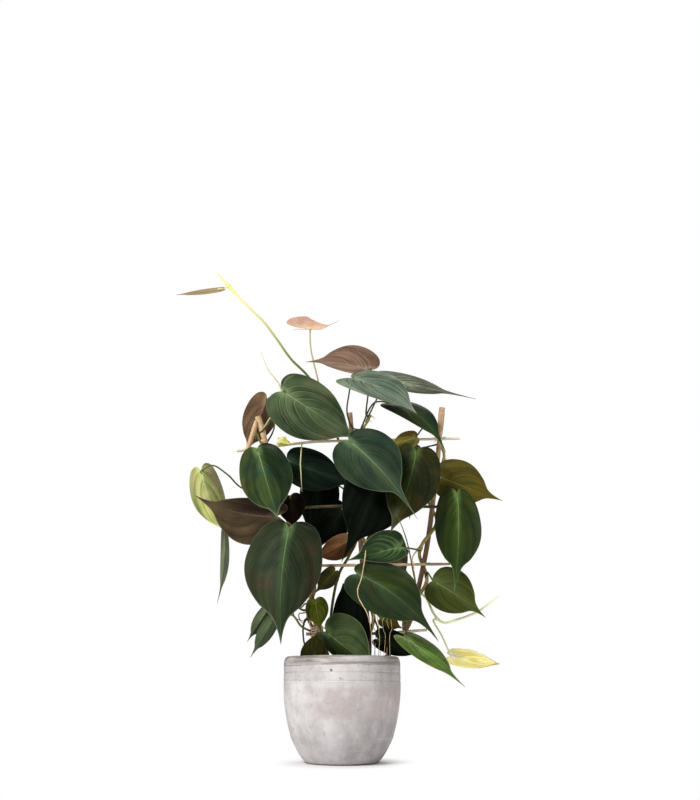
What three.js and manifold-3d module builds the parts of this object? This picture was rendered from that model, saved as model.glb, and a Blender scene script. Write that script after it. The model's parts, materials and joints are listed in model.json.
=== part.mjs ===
// A velvet leaf philodendron on a bamboo fan trellis, in a concrete pot. Millimetres, +Z up.
// The origin is the middle of the pot's flat foot, on the surface it stands on. The front faces -Y.
import * as THREE from 'three';
import { mergeVertices } from 'three/addons/utils/BufferGeometryUtils.js';
import Module from 'manifold-3d';

const wasm = await Module();
wasm.setup();

// Driving dimensions of the pot and what fills it
const POT_HEIGHT = 117;
const POT_RADIUS = 70.5;
const FOOT_RADIUS = 40;
const WALL = 8;
const FLOOR = 10;
const LINER_WALL = 1.4;
const LINER_TOP = 103;
const SOIL_TOP = 94;
const GAP = 0.3;

// Driving dimensions of the trellis
const POST_RADIUS = 3.2;
const POST_DEPTH = 8;
const RUNG_RADIUS = 1.9;
const TIE_RADIUS = 0.6;

// Driving dimensions of the plant
const STEM_RADIUS = 2.3;
const STALK_RADIUS = 1.2;
const BLADE = 0.8;
const HALF_WIDTH = 0.375;
const LOBE = 0.13;

// The front view that the plant's places are given on: u to the right and v down, on a sheet 700 by 800,
// as an eye a metre in front of the pot sees it. A place is (u, v) on that sheet and a depth y in mm.
const EYE = new THREE.Vector3(9.4, -1018, 86);
const EYE_TILT = THREE.MathUtils.degToRad(19.54);
const SHEET_FOCUS = 800;
const SHEET_MIDDLE = { u: 350, v: 400 };

/** The point at depth y that lies behind (u, v) on the front view. */
function at(u, v, y) {
  const side = (u - SHEET_MIDDLE.u) / SHEET_FOCUS;
  const rise = (SHEET_MIDDLE.v - v) / SHEET_FOCUS;
  const ahead = Math.cos(EYE_TILT) - rise * Math.sin(EYE_TILT);
  const up = Math.sin(EYE_TILT) + rise * Math.cos(EYE_TILT);
  const reach = (y - EYE.y) / ahead;
  return new THREE.Vector3(EYE.x + reach * side, y, EYE.z + reach * up);
}

/** The size in mm of one unit of the front view at a point. */
function unitAt(point) {
  const away = point.clone().sub(EYE);
  return (away.y * Math.cos(EYE_TILT) + away.z * Math.sin(EYE_TILT)) / SHEET_FOCUS;
}

// Solids from meshes and back
function toSolid(geometry) {
  const bare = geometry.clone();
  bare.deleteAttribute('normal');
  bare.deleteAttribute('uv');
  const merged = mergeVertices(bare, 1e-4);
  const mesh = new wasm.Mesh({
    numProp: 3,
    vertProperties: new Float32Array(merged.attributes.position.array),
    triVerts: new Uint32Array(merged.index.array),
  });
  return new wasm.Manifold(mesh);
}

function fromSolid(solid) {
  const mesh = solid.getMesh();
  const geometry = new THREE.BufferGeometry();
  geometry.setAttribute('position', new THREE.BufferAttribute(new Float32Array(mesh.vertProperties), 3));
  geometry.setIndex(new THREE.BufferAttribute(new Uint32Array(mesh.triVerts), 1));
  return geometry;
}

function fuse(geometries) {
  return fromSolid(geometries.map(toSolid).reduce((whole, next) => whole.add(next)));
}

/** A round bar of a few sides along a curve. */
function bar(curve, radius, steps, sides = 5) {
  const section = new THREE.Shape();
  for (let i = 0; i < sides; i += 1) {
    const angle = (i / sides) * 2 * Math.PI;
    const x = radius * Math.cos(angle);
    const y = radius * Math.sin(angle);
    if (i === 0) section.moveTo(x, y);
    else section.lineTo(x, y);
  }
  section.closePath();
  return new THREE.ExtrudeGeometry(section, { steps, extrudePath: curve, bevelEnabled: false });
}

function smooth(points) {
  return new THREE.CatmullRomCurve3(points, false, 'catmullrom', 0.5);
}

// Finishes
const finish = (color, roughness) => new THREE.MeshStandardMaterial({ color, roughness, metalness: 0 });
const CONCRETE = finish(0xcfcdc8, 0.85);
const LINER = finish(0x1c1c1d, 0.5);
const SOIL = finish(0x33261c, 0.95);
const BAMBOO = finish(0xc99b74, 0.6);
const STEM = finish(0x4d3a28, 0.7);
const YOUNG_STEM = finish(0xa9b85a, 0.6);
const VELVET = finish(0x2f4636, 0.75);
const MAROON = finish(0x6e4537, 0.75);
const PINK = finish(0xd59a86, 0.6);
const YELLOW = finish(0xe2d477, 0.6);
const LIGHT_GREEN = finish(0x6f9150, 0.6);

const plant = new THREE.Group();

function place(name, geometry, material) {
  const mesh = new THREE.Mesh(geometry, material);
  mesh.name = name;
  plant.add(mesh);
  return mesh;
}

// The pot: a bowl turned about its axis, with a rounded lip and two level grooves
function potProfile() {
  const groove = 0.6;
  const inside = POT_RADIUS - WALL;
  return [
    [0, 0],
    [FOOT_RADIUS, 0],
    [44, 1.6],
    [49, 7.5],
    [54, 15.5],
    [60, 27],
    [64.8, 42],
    [68.2, 59],
    [POT_RADIUS, 88.5],
    [POT_RADIUS - groove, 89.5],
    [POT_RADIUS, 90.5],
    [POT_RADIUS, 97.5],
    [POT_RADIUS - groove, 98.5],
    [POT_RADIUS, 99.5],
    [POT_RADIUS, 109],
    [POT_RADIUS - 2, 115.5],
    [POT_RADIUS - 4.5, POT_HEIGHT],
    [inside + 1, 115.5],
    [inside, 111],
    [inside, 60],
    [inside - 9, 28],
    [inside - 18, FLOOR],
    [0, FLOOR],
  ];
}

function turned(profile, segments) {
  return new THREE.LatheGeometry(profile.map(([r, z]) => new THREE.Vector2(r, z)), segments).rotateX(Math.PI / 2);
}

// The grower's pot stands on the concrete floor and holds the soil
const LINER_FOOT = FLOOR + GAP;
const LINER_RADIUS = { foot: 41, rim: 57 };

function linerRadius(z) {
  const along = (z - LINER_FOOT) / (LINER_TOP - LINER_FOOT);
  return LINER_RADIUS.foot + along * (LINER_RADIUS.rim - LINER_RADIUS.foot);
}

function linerProfile() {
  const lip = 2;
  return [
    [0, LINER_FOOT],
    [LINER_RADIUS.foot, LINER_FOOT],
    [linerRadius(LINER_TOP - 6), LINER_TOP - 6],
    [LINER_RADIUS.rim + lip, LINER_TOP - 6],
    [LINER_RADIUS.rim + lip, LINER_TOP],
    [LINER_RADIUS.rim - LINER_WALL, LINER_TOP],
    [LINER_RADIUS.foot - LINER_WALL, LINER_FOOT + LINER_WALL],
    [0, LINER_FOOT + LINER_WALL],
  ];
}

// The trellis: each post by its places on the front view, from its top down into the soil
const POSTS = {
  left: [[258, 417], [284.6, 507], [311, 597], [317, 640], [319, 677], [320, 716]],
  middle: [[350, 413], [358, 510], [366, 607], [369, 640], [368, 677], [366, 716]],
  right: [[442, 408], [437, 465], [428, 540], [418, 590], [411, 618], [400, 639], [387, 657], [380.5, 677], [377, 716]],
};

function postCurve(name) {
  return smooth(POSTS[name].map(([u, v]) => at(u, v, POST_DEPTH)));
}

/** The post's centre at a height. */
function onPost(name, z) {
  const points = postCurve(name).getPoints(300);
  return points.reduce((best, p) => (Math.abs(p.z - z) < Math.abs(best.z - z) ? p : best)).clone().setZ(z);
}

// The rungs lie in front of the posts
const RUNGS = {
  top: [[237, 451], [302, 443], [335, 441], [460, 438.5]],
  upper: [[268, 509], [350, 506], [448, 507]],
  lower: [[290, 566], [366, 565], [450, 564]],
  bottom: [[306, 634], [375, 633.5], [427, 630]],
};
const RUNG_DEPTH = POST_DEPTH - POST_RADIUS - RUNG_RADIUS - GAP;

function rungCurve(name) {
  return smooth(RUNGS[name].map(([u, v]) => at(u, v, RUNG_DEPTH)));
}

function rungHeight(name, x) {
  const points = rungCurve(name).getPoints(200);
  return points.reduce((best, p) => (Math.abs(p.x - x) < Math.abs(best.x - x) ? p : best)).z;
}

/** Where a rung passes a post: the height at which their centres are level. */
function crossing(rung, name) {
  let z = rungHeight(rung, onPost(name, 300).x);
  for (let i = 0; i < 4; i += 1) z = rungHeight(rung, onPost(name, z).x);
  return onPost(name, z);
}

const TIE_REACH = POST_RADIUS + TIE_RADIUS + GAP + 0.8;

/** A wire loop round a post that holds a rung to it. */
function tie(rung, name) {
  const middle = crossing(rung, name);
  const loop = [];
  const turns = 10;
  for (let i = 0; i < turns; i += 1) {
    const angle = (i / turns) * 2 * Math.PI;
    const front = Math.sin(angle) < -0.3 ? RUNG_RADIUS * 1.1 : 0;
    loop.push(new THREE.Vector3(
      middle.x + TIE_REACH * Math.cos(angle),
      middle.y + TIE_REACH * Math.sin(angle) - front,
      middle.z,
    ));
  }
  const curve = new THREE.CatmullRomCurve3(loop, true, 'catmullrom', 0.5);
  return bar(curve, TIE_RADIUS, turns, 3);
}

// The stems. Each winds round a post once between two rungs, behind every rung, and is then led freely.
const WIND_RADIUS = TIE_REACH + TIE_RADIUS + STEM_RADIUS + 2 * GAP;
const RUNG_NAMES = ['bottom', 'lower', 'upper', 'top'];

/** Points of a stem that winds round a post between two heights, at the back at each rung. */
function wind(name, from, to, hand) {
  const knots = RUNG_NAMES.map((rung) => crossing(rung, name).z);
  const points = [];
  const step = 12;
  for (let z = from; z <= to; z += step) {
    const above = knots.filter((knot) => knot <= z).length;
    const low = above > 0 ? knots[above - 1] : 2 * knots[0] - knots[1];
    const high = above < knots.length ? knots[above] : low + 75;
    const angle = Math.PI / 2 + hand * ((z - low) / (high - low)) * 2 * Math.PI;
    const centre = onPost(name, z);
    const out = new THREE.Vector3(Math.cos(angle), Math.sin(angle), 0);
    if (points.length === 0) points.push(onPost(name, z - step).addScaledVector(out, WIND_RADIUS + 3));
    points.push(centre.addScaledVector(out, WIND_RADIUS));
  }
  return points;
}

/** A stem's centre line: from its hole in the soil or off another stem, round its post and along its places. */
function stemLine({ post: name, hand, from, to, foot, off, free }) {
  const points = name ? wind(name, from, to, hand) : [];
  const freed = free.map(([u, v, y]) => at(u, v, y));
  if (off) return [...budding(off.stem, off.from, freed[0]), ...freed];
  const entry = new THREE.Vector3(foot.x, foot.y, SOIL_TOP);
  return [
    entry.clone().setZ(STEM_FOOT),
    entry.clone().setZ(SOIL_TOP - 12),
    entry.clone().setZ(SOIL_TOP + 4),
    ...points,
    ...freed,
  ];
}

/** The first two points of a shoot or stalk that leaves a stem square to it, just clear of its skin. */
function budding(name, from, aim) {
  const { point, tangent } = onStem(name, from);
  const out = aim.clone().sub(point);
  out.addScaledVector(tangent, -out.dot(tangent)).normalize();
  const clear = STEMS[name].radius + GAP;
  return [point.clone().addScaledVector(out, clear), point.clone().addScaledVector(out, clear + 5)];
}

const STEM_FOOT = 62;
const STEMS = {
  left: {
    post: 'left', hand: 1, from: 128, to: 405, foot: { x: -36, y: 18 }, free: [],
    radius: STEM_RADIUS, sides: 6, finish: STEM,
  },
  middle: {
    post: 'middle', hand: -1, from: 128, to: 400, foot: { x: 20, y: 24 }, free: [[366, 424, 20], [371, 415, 16]],
    radius: STEM_RADIUS, sides: 6, finish: STEM,
  },
  right: {
    post: 'right', hand: 1, from: 146, to: 405, foot: { x: 38, y: 22 }, free: [],
    radius: STEM_RADIUS, sides: 6, finish: STEM,
  },
  runner: {
    post: null, foot: { x: -8, y: 36 },
    free: [
      [331, 628, 20], [333, 600, 14], [339, 574, 14], [349, 556, 18], [357, 536, 28], [354, 500, 40],
      [342, 450, 40], [325, 410, 28], [310, 379, 12],
      [291, 359, 2], [276, 338, -4], [263, 321, -8], [250, 308.5, -10], [238, 296, -12], [228, 285.5, -13],
      [217, 273, -14],
    ],
    radius: 1.8, sides: 5, finish: YOUNG_STEM,
  },
  shoot: {
    post: null, off: { stem: 'right', from: [418, 591] },
    free: [[428, 601, 4], [434, 614, -4], [443, 622.5, -10], [456, 620, -14], [468, 616, -18],
      [481, 610, -22], [498, 596, -26]],
    radius: 1.5, sides: 5, finish: YOUNG_STEM,
  },
};

// A stem is made of straight lengths of about this size, and its stalks leave those lengths
const STEM_STEP = 13;
const stems = {};
for (const [name, stem] of Object.entries(STEMS)) {
  const curve = smooth(stemLine(stem));
  const steps = Math.round(curve.getLength() / STEM_STEP);
  stems[name] = { curve, steps, joints: curve.getSpacedPoints(steps) };
}

/** The place on a stem's centre line that shows nearest to (u, v), with the line's direction there. */
function onStem(name, [u, v]) {
  const { joints } = stems[name];
  const samples = 20;
  let best = null;
  let least = Infinity;
  for (let i = 0; i + 1 < joints.length; i += 1) {
    for (let j = 0; j < samples; j += 1) {
      const point = joints[i].clone().lerp(joints[i + 1], j / samples);
      const off = at(u, v, point.y).distanceTo(point);
      if (point.z > SOIL_TOP + 8 && off < least) {
        least = off;
        best = { point, tangent: joints[i + 1].clone().sub(joints[i]).normalize() };
      }
    }
  }
  return best;
}

// A leaf. Its blade has the outline of a heart with a drip tip: s along the midrib, w of the half width.
// A pinched leaf narrows from its base on.
function outlineOf({ tail, lobe, pinch }) {
  const body = 1 - tail;
  const places = [
    [0, 0],
    [-0.7 * lobe * body, 0.15],
    [-lobe * body, 0.4],
    [-0.6 * lobe * body, 0.7],
    [0.09 * body, 0.92],
    [0.33 * body, 1],
    [0.56 * body, 0.88],
    [0.78 * body, 0.56],
    [0.93 * body, 0.22],
    [body + 0.35 * tail, 0.07],
    [1, 0],
  ];
  return new THREE.SplineCurve(places.map(([s, w]) => new THREE.Vector2(s, w * (1 - Math.max(0, s)) ** pinch)));
}

const LEAF = {
  left: 20, right: 20, lean: [-1, -1], face: 1, bow: 0, tail: 0.18, arch: 0.05, curl: 0.06, wave: 0.01,
  lobe: LOBE, pinch: 0, broad: 1, via: [], ribs: 8, rows: 2, stalk: STALK_RADIUS, finish: VELVET,
};

/** The frame of a leaf: its ends, its length, and how its two halves spread. */
function leafFrame(leaf) {
  const base = at(...leaf.base);
  const tip = at(...leaf.tip);
  const along = tip.clone().sub(base).normalize();
  const middle = base.clone().lerp(tip, 0.5);
  const sight = middle.clone().sub(EYE).normalize();
  const left = along.clone().cross(sight).normalize();
  const near = along.clone().cross(left).normalize();
  const unit = unitAt(middle);
  const length = base.distanceTo(tip);
  const halves = [[1, leaf.left, leaf.lean[0]], [-1, leaf.right, leaf.lean[1]]].map(([side, seen, lean]) => {
    const width = Math.max(HALF_WIDTH * leaf.broad * length, seen * unit);
    const shown = Math.min(1, (seen * unit) / width);
    const turned90 = Math.sqrt(1 - shown * shown);
    return left.clone().multiplyScalar(side * shown).addScaledVector(near, lean * turned90).multiplyScalar(width);
  });
  const up = near.clone().multiplyScalar(leaf.face);
  return { base, along, left, up, unit, length, halves };
}

function midrib(leaf, frame, m) {
  const hump = m > 0 ? 4 * m * (1 - m) : 4 * m;
  return frame.base.clone()
    .addScaledVector(frame.along, m * frame.length)
    .addScaledVector(frame.left, leaf.bow * frame.unit * hump)
    .addScaledVector(frame.up, leaf.arch * frame.length * hump);
}

/** The blade's middle surface: midrib points, then each half's rows out to the edge. */
function bladeSurface(leaf, frame) {
  const outline = outlineOf(leaf);
  const { ribs, rows } = leaf;
  const points = [];
  const triangles = [];
  const spine = [];
  for (let k = 0; k <= ribs; k += 1) {
    spine.push(points.length);
    points.push(midrib(leaf, frame, (k / ribs) ** 2.4));
  }
  frame.halves.forEach((spread, half) => {
    const grid = [];
    for (let k = 0; k <= ribs; k += 1) {
      const t = k / ribs;
      const row = [spine[k]];
      const { x: s, y: w } = outline.getPoint(t);
      const edge = midrib(leaf, frame, s).addScaledVector(spread, w);
      edge.addScaledVector(frame.up, -leaf.curl * w * w * frame.length * HALF_WIDTH);
      edge.addScaledVector(frame.up, leaf.wave * w * frame.length * Math.sin(7 * t * Math.PI + 2 * half));
      for (let j = 1; j <= rows; j += 1) {
        if (k === 0 || k === ribs) {
          row.push(spine[k]);
        } else {
          const r = j / rows;
          const bulge = 0.08 * spread.length() * w * 4 * r * (1 - r);
          row.push(points.length);
          points.push(points[spine[k]].clone().lerp(edge, r).addScaledVector(frame.up, bulge));
        }
      }
      grid.push(row);
    }
    for (let k = 0; k < ribs; k += 1) {
      for (let j = 0; j < rows; j += 1) {
        const [a, b, c, d] = [grid[k][j], grid[k + 1][j], grid[k + 1][j + 1], grid[k][j + 1]];
        for (const corner of [[a, b, c], [a, c, d]]) {
          if (new Set(corner).size < 3) continue;
          triangles.push(half === 0 ? corner : [corner[0], corner[2], corner[1]]);
        }
      }
    }
  });
  return { points, triangles };
}

/** A closed sheet of even thickness from a middle surface, split alike on both faces. */
function thicken({ points, triangles }, thickness) {
  const normals = points.map(() => new THREE.Vector3());
  const open = new Map();
  for (const [a, b, c] of triangles) {
    const ab = points[b].clone().sub(points[a]);
    const ac = points[c].clone().sub(points[a]);
    const normal = ab.cross(ac);
    for (const corner of [a, b, c]) normals[corner].add(normal);
    for (const [from, to] of [[a, b], [b, c], [c, a]]) {
      if (!open.delete(`${to},${from}`)) open.set(`${from},${to}`, [from, to]);
    }
  }
  const count = points.length;
  const vertices = [];
  for (const side of [0.5, -0.5]) {
    points.forEach((point, i) => {
      const moved = point.clone().addScaledVector(normals[i].clone().normalize(), side * thickness);
      vertices.push(moved.x, moved.y, moved.z);
    });
  }
  const index = [];
  for (const [a, b, c] of triangles) index.push(a, b, c, a + count, c + count, b + count);
  for (const [a, b] of open.values()) index.push(b, a, a + count, b, a + count, b + count);
  const geometry = new THREE.BufferGeometry();
  geometry.setAttribute('position', new THREE.BufferAttribute(new Float32Array(vertices), 3));
  geometry.setIndex(index);
  return geometry;
}

/** The stalk's way from its stem to the underside of the blade. */
function stalkCurve(leaf, seat) {
  const way = leaf.via.map((place) => at(...place));
  return smooth([...budding(leaf.stem, leaf.from, way[0] ?? seat), ...way, seat]);
}

function leafSolid(given) {
  const leaf = { ...LEAF, ...given };
  const frame = leafFrame(leaf);
  const blade = thicken(bladeSurface(leaf, frame), BLADE);
  const seat = frame.base.clone().addScaledVector(frame.up, -0.8);
  const curve = stalkCurve(leaf, seat);
  const steps = Math.max(3, Math.round(curve.getLength() / 15));
  const knee = new THREE.OctahedronGeometry(leaf.stalk * 1.6, 0).translate(seat.x, seat.y, seat.z);
  return fuse([blade, bar(curve, leaf.stalk, steps, 4), knee]);
}

// The leaves: where each stalk leaves its stem, where it meets the blade, the tip, and the halves' widths
const LEAVES = {
  upper_left_big: {
    stem: 'left', from: [263, 422], base: [283, 391.5, -46], tip: [353, 437, -36], left: 28, right: 33,
    via: [[276, 413, -14]], tail: 0.06, lobe: 0.11, finish: LIGHT_GREEN,
  },
  upper_left_maroon: {
    stem: 'left', from: [269, 441], base: [267, 399, 24], tip: [245, 455, 30], left: 17, right: 17, face: -1,
    via: [[274, 428, 20], [273, 411, 23]], finish: MAROON,
  },
  left_green: {
    stem: 'left', from: [276, 478], base: [257, 449, -42], tip: [278, 519, -74], left: 28, right: 26, tail: 0.1,
    via: [[266, 456, -22]],
  },
  front_centre: {
    stem: 'middle', from: [355, 473], base: [349, 441, -62], tip: [418, 520, -96], left: 35, right: 34, bow: 5,
    via: [[350, 450, -40]], tail: 0.28, lobe: 0.15, pinch: 0.4,
  },
  front_left_big: {
    stem: 'left', from: [293, 540], base: [289, 528, -72], tip: [281, 645, -104], left: 40, right: 40, bow: -4,
    via: [[289, 530, -50]], tail: 0.17,
  },
  right_big: {
    stem: 'right', from: [437, 521], base: [457, 493, -43], tip: [454, 592, -66], left: 24, right: 24, bow: 3,
    via: [[444, 514, -14], [450, 504, -30]], tail: 0.2,
  },
  right_low: {
    stem: 'right', from: [421, 577], base: [433, 581, -22], tip: [486, 618, -46], left: 23, right: 22, bow: 2,
    tail: 0.2, lobe: 0.08,
  },
  right_olive: {
    stem: 'right', from: [440, 459], base: [442, 478, -6], tip: [503, 501, -15], left: 24, right: 20, tail: 0.22,
    lobe: 0.16, broad: 0.8,
  },
  centre_right: {
    stem: 'right', from: [435, 468], base: [416, 452, -40], tip: [390, 533, -58], left: 30, right: 24, bow: 3,
    broad: 0.82, via: [[426, 457, -20]], tail: 0.12,
  },
  centre_dark: {
    stem: 'middle', from: [363, 490], base: [385, 468, -16], tip: [341, 563, -28], left: 38, right: 31,
    broad: 0.7, via: [[373, 478, -10]], tail: 0.22,
  },
  centre_low_dark: {
    stem: 'runner', from: [356, 520], base: [343, 508, 20], tip: [317, 551, 26], left: 17, right: 16,
    broad: 0.9, via: [[350, 511, 26]], ribs: 6, rows: 1,
  },
  centre_blue: {
    stem: 'runner', from: [346, 468], base: [289, 461, -11], tip: [351, 485, -15], left: 20, right: 21,
    via: [[322, 462, 6]], lobe: 0.1, tail: 0.1,
  },
  left_maroon: {
    stem: 'left', from: [291, 529], base: [276, 516, -21], tip: [194, 495, -41], left: 30, right: 17, face: -1,
    lean: [-1, 1], broad: 0.7, bow: 6, tail: 0.2, finish: MAROON,
  },
  left_maroon_dark: {
    stem: 'left', from: [292, 520], base: [290, 497, -12], tip: [294, 530, -20], left: 14, right: 13, face: -1,
    ribs: 6, rows: 1, finish: MAROON,
  },
  far_left_light: {
    stem: 'left', from: [278, 494], base: [201, 471, -10], tip: [227, 533, -4], left: 16, right: 17, bow: -3, tail: 0.08,
    via: [[242, 488, 4], [228, 475, -2], [213, 465.5, -8]], finish: LIGHT_GREEN,
  },
  far_left_edge: {
    stem: 'left', from: [292, 552], base: [225, 529, 16], tip: [217, 604, 4], left: 5, right: 4,
    via: [[266, 544, 20], [240, 530, 20]], bow: 3, finish: LIGHT_GREEN,
  },
  centre_pointing_left: {
    stem: 'right', from: [424, 550], base: [400, 547, -44], tip: [345, 561, -58], left: 12, right: 20,
    lean: [1, -1], broad: 0.9, via: [[414, 549, -22]], tail: 0.2,
  },
  low_centre_big: {
    stem: 'middle', from: [364, 600], base: [357, 574, -80], tip: [439, 642, -108], left: 28, right: 27, bow: 8,
    via: [[360, 582, -46]], tail: 0.24,
  },
  bottom_centre: {
    stem: 'left', from: [321, 650], base: [326, 632, -26], tip: [372, 668, -44], left: 28, right: 14, tail: 0.05,
  },
  bottom_left_olive: {
    stem: 'left', from: [310, 618], base: [313, 664, -31], tip: [318, 631, -28], left: 14, right: 11,
    via: [[303, 631, 5], [305, 646, -17]], tail: 0.1, lobe: 0.03, ribs: 6, rows: 1, finish: LIGHT_GREEN,
  },
  low_left_olive: {
    stem: 'left', from: [311, 599], base: [315, 601, -10], tip: [321, 632, -13], left: 12, right: 11,
    ribs: 6, rows: 1, finish: LIGHT_GREEN,
  },
  low_centre_dark: {
    stem: 'middle', from: [366, 651], base: [353, 641, -8], tip: [343, 583, -14], left: 17, right: 20,
    broad: 0.8, tail: 0.05,
  },
  orange_underside: {
    stem: 'middle', from: [356, 521], base: [349, 541, -14], tip: [313, 560, -18], left: 13, right: 11, face: -1,
    ribs: 6, rows: 1, finish: MAROON,
  },
  centre_olive: {
    stem: 'runner', from: [337, 580], base: [335, 571, -14], tip: [314, 594, -18], left: 9, right: 9,
    ribs: 6, rows: 1, finish: LIGHT_GREEN,
  },
  low_left_small: {
    stem: 'left', from: [309, 610], base: [268, 608, -20], tip: [247, 642, -30], left: 9, right: 7,
    via: [[290, 604, -2]], ribs: 6, rows: 1,
  },
  low_left_pointed: {
    stem: 'left', from: [309, 632], base: [276, 615, -40], tip: [250, 658, -54], left: 8, right: 8,
    via: [[301, 626, -10], [292, 615, -24]], stalk: 1.4, ribs: 6, rows: 1,
  },
  low_right_front: {
    stem: 'right', from: [410, 616], base: [406, 638, -58], tip: [465, 687, -100], left: 12, right: 10, bow: 1,
    lean: [-1, 1], broad: 0.7, via: [[406, 626, -34]], tail: 0.2,
  },
  low_right_dark: {
    stem: 'middle', from: [372, 618], base: [378, 639, -14], tip: [424, 657, -22], left: 14, right: 10,
    broad: 0.6, via: [[378, 629, -6]], ribs: 6, rows: 1,
  },
  yellow_curled: {
    stem: 'shoot', from: [437, 619], base: [451, 656, -30], tip: [500, 664, -38], left: 9, right: 9,
    via: [[442, 636, -20]], tail: 0.08, lobe: 0.1, finish: YELLOW,
  },
  small_olive: {
    stem: 'middle', from: [370, 604], base: [381, 619, -16], tip: [404, 629, -18], left: 8, right: 7,
    ribs: 6, rows: 1, finish: LIGHT_GREEN,
  },
  upper_right_olive: {
    stem: 'right', from: [438, 416], base: [416, 437, -16], tip: [387, 448, -18], left: 9, right: 9,
    via: [[428, 424, -14]], ribs: 6, rows: 1, finish: MAROON,
  },
  upper_left_bud: {
    stem: 'left', from: [280, 464], base: [278, 441, -16], tip: [293, 445, -20], left: 5, right: 5,
    ribs: 6, rows: 1, finish: YELLOW,
  },
  top_pink: {
    stem: 'runner', from: [316, 386], base: [310, 329, -2], tip: [339, 320.5, 16], left: 17, right: 3, face: -1, bow: -2,
    lean: [-1, 1], lobe: 1, broad: 1.4, pinch: 2, via: [[311, 350, 4]], tail: 0.3, finish: PINK,
  },
  top_brown: {
    stem: 'middle', from: [371, 415], base: [371, 370, 8], tip: [305, 362, -6], left: 8, right: 20, face: -1, bow: -3,
    lean: [-1, 1], via: [[369, 388, 10]], tail: 0.2, finish: MAROON,
  },
  top_grey: {
    stem: 'middle', from: [360, 433], base: [352, 378, -22], tip: [417, 414, -54], left: 18, right: 14, bow: 5,
    lean: [-1, 1], via: [[352, 427, -8], [347, 412, -8], [349, 394, -11]], tail: 0.1, lobe: 0.1,
  },
  top_right_edge: {
    stem: 'middle', from: [367, 420], base: [384, 378, 36], tip: [476, 399, 40], left: 9, right: 8,
    lean: [-1, 1], broad: 0.6, via: [[378, 396, 28]], tail: 0.3,
  },
  upper_right_dark: {
    stem: 'middle', from: [362, 430], base: [394, 404, -12], tip: [446, 453, -34], left: 12, right: 12, bow: 9,
    lean: [-1, 1], broad: 0.7, via: [[374, 403, -2]], tail: 0.2,
  },
  runner_young: {
    stem: 'runner', from: [226, 287], base: [220, 289, -12], tip: [176, 295, -16], left: 3, right: 2,
    lean: [1, -1], tail: 0.1, stalk: 0.9, ribs: 6, rows: 1, finish: PINK,
  },
  back_upper_middle: {
    stem: 'middle', from: [353, 445], base: [364, 448, 66], tip: [366, 524, 104], left: 26, right: 26, face: -1,
    ribs: 6, rows: 1,
  },
  back_upper_right: {
    stem: 'right', from: [440, 441], base: [404, 452, 84], tip: [410, 520, 118], left: 23, right: 23, face: -1,
    ribs: 6, rows: 1,
  },
  back_middle_left: {
    stem: 'left', from: [286, 509], base: [291, 535, 64], tip: [284, 605, 100], left: 24, right: 24, face: -1,
    ribs: 6, rows: 1,
  },
  centre_shadow: {
    stem: 'runner', from: [352, 490], base: [318, 475, 30], tip: [316, 554, 46], left: 22, right: 18,
    broad: 0.7, via: [[336, 484, 38]], ribs: 6, rows: 1,
  },
  back_middle_right: {
    stem: 'middle', from: [361, 546], base: [384, 540, 66], tip: [394, 612, 100], left: 22, right: 22, face: -1,
    ribs: 6, rows: 1,
  },
  back_low_left: {
    stem: 'left', from: [302, 567], base: [290, 580, 44], tip: [284, 628, 70], left: 17, right: 17, face: -1,
    ribs: 6, rows: 1,
  },
  back_low_right: {
    stem: 'middle', from: [363, 567], base: [392, 574, 36], tip: [404, 622, 58], left: 17, right: 17, face: -1,
    ribs: 6, rows: 1,
  },
};

place('pot', turned(potProfile(), 30), CONCRETE);
place('grower_pot', turned(linerProfile(), 28), LINER);

// The soil is clear of the grower's pot and of what stands in it
const SOIL_CLEAR = 1.4;

/** A plain hole a little wider and deeper than the bar that stands in it. */
function hole(points, radius, end) {
  const deeper = points.map((point) => point.clone());
  deeper.at(end).z -= GAP;
  return toSolid(bar(smooth(deeper), radius + SOIL_CLEAR, 12, 6));
}

/** The soil, a little heaped and crumbled on top, with a hole for each post and stem. */
function soilSolid() {
  const below = LINER_FOOT + LINER_WALL + GAP;
  const rim = linerRadius(SOIL_TOP) - LINER_WALL - SOIL_CLEAR;
  const foot = LINER_RADIUS.foot - LINER_WALL - SOIL_CLEAR;
  const heap = [[rim, SOIL_TOP - 2], [rim - 8, SOIL_TOP], [rim - 26, SOIL_TOP]];
  const body = turned([[0, below], [foot, below], ...heap, [0, SOIL_TOP]], 20);
  const spots = body.attributes.position;
  for (let i = 0; i < spots.count; i += 1) {
    const [x, y, z] = [spots.getX(i), spots.getY(i), spots.getZ(i)];
    if (z > SOIL_TOP - 1) spots.setZ(i, z + 1.1 * Math.sin(0.31 * x + 1) * Math.cos(0.27 * y));
  }
  let soil = toSolid(body);
  for (const stem of Object.values(STEMS)) {
    if (!stem.foot) continue;
    soil = soil.subtract(hole(stemLine(stem).slice(0, 6), stem.radius, 0));
  }
  for (const name of Object.keys(POSTS)) soil = soil.subtract(hole(postCurve(name).points, POST_RADIUS, -1));
  return fromSolid(soil);
}
place('soil', soilSolid(), SOIL);

for (const name of Object.keys(POSTS)) {
  place(`trellis_post_${name}`, bar(postCurve(name), POST_RADIUS, 12, 8), BAMBOO);
}
for (const name of RUNG_NAMES) {
  const curve = rungCurve(name);
  const stick = bar(curve, RUNG_RADIUS, 6, 6);
  const ties = Object.keys(POSTS).map((post) => tie(name, post));
  place(`trellis_rung_${name}`, fuse([stick, ...ties]), BAMBOO);
}

for (const [name, stem] of Object.entries(STEMS)) {
  const { curve, steps } = stems[name];
  place(`stem_${name}`, bar(curve, stem.radius, steps, stem.sides), stem.finish);
}

for (const [name, leaf] of Object.entries(LEAVES)) {
  place(`leaf_${name}`, leafSolid(leaf), leaf.finish ?? VELVET);
}

export default plant;
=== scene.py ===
"""A velvet leaf philodendron on a bamboo fan trellis, in a concrete pot.

Shapes are worked out in millimetres and made in metres. The pot stands on its foot at the origin, and the
front faces -Y. Places of the plant are given on the front view: u to the right, v down, and a depth y in
millimetres.
"""

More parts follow.
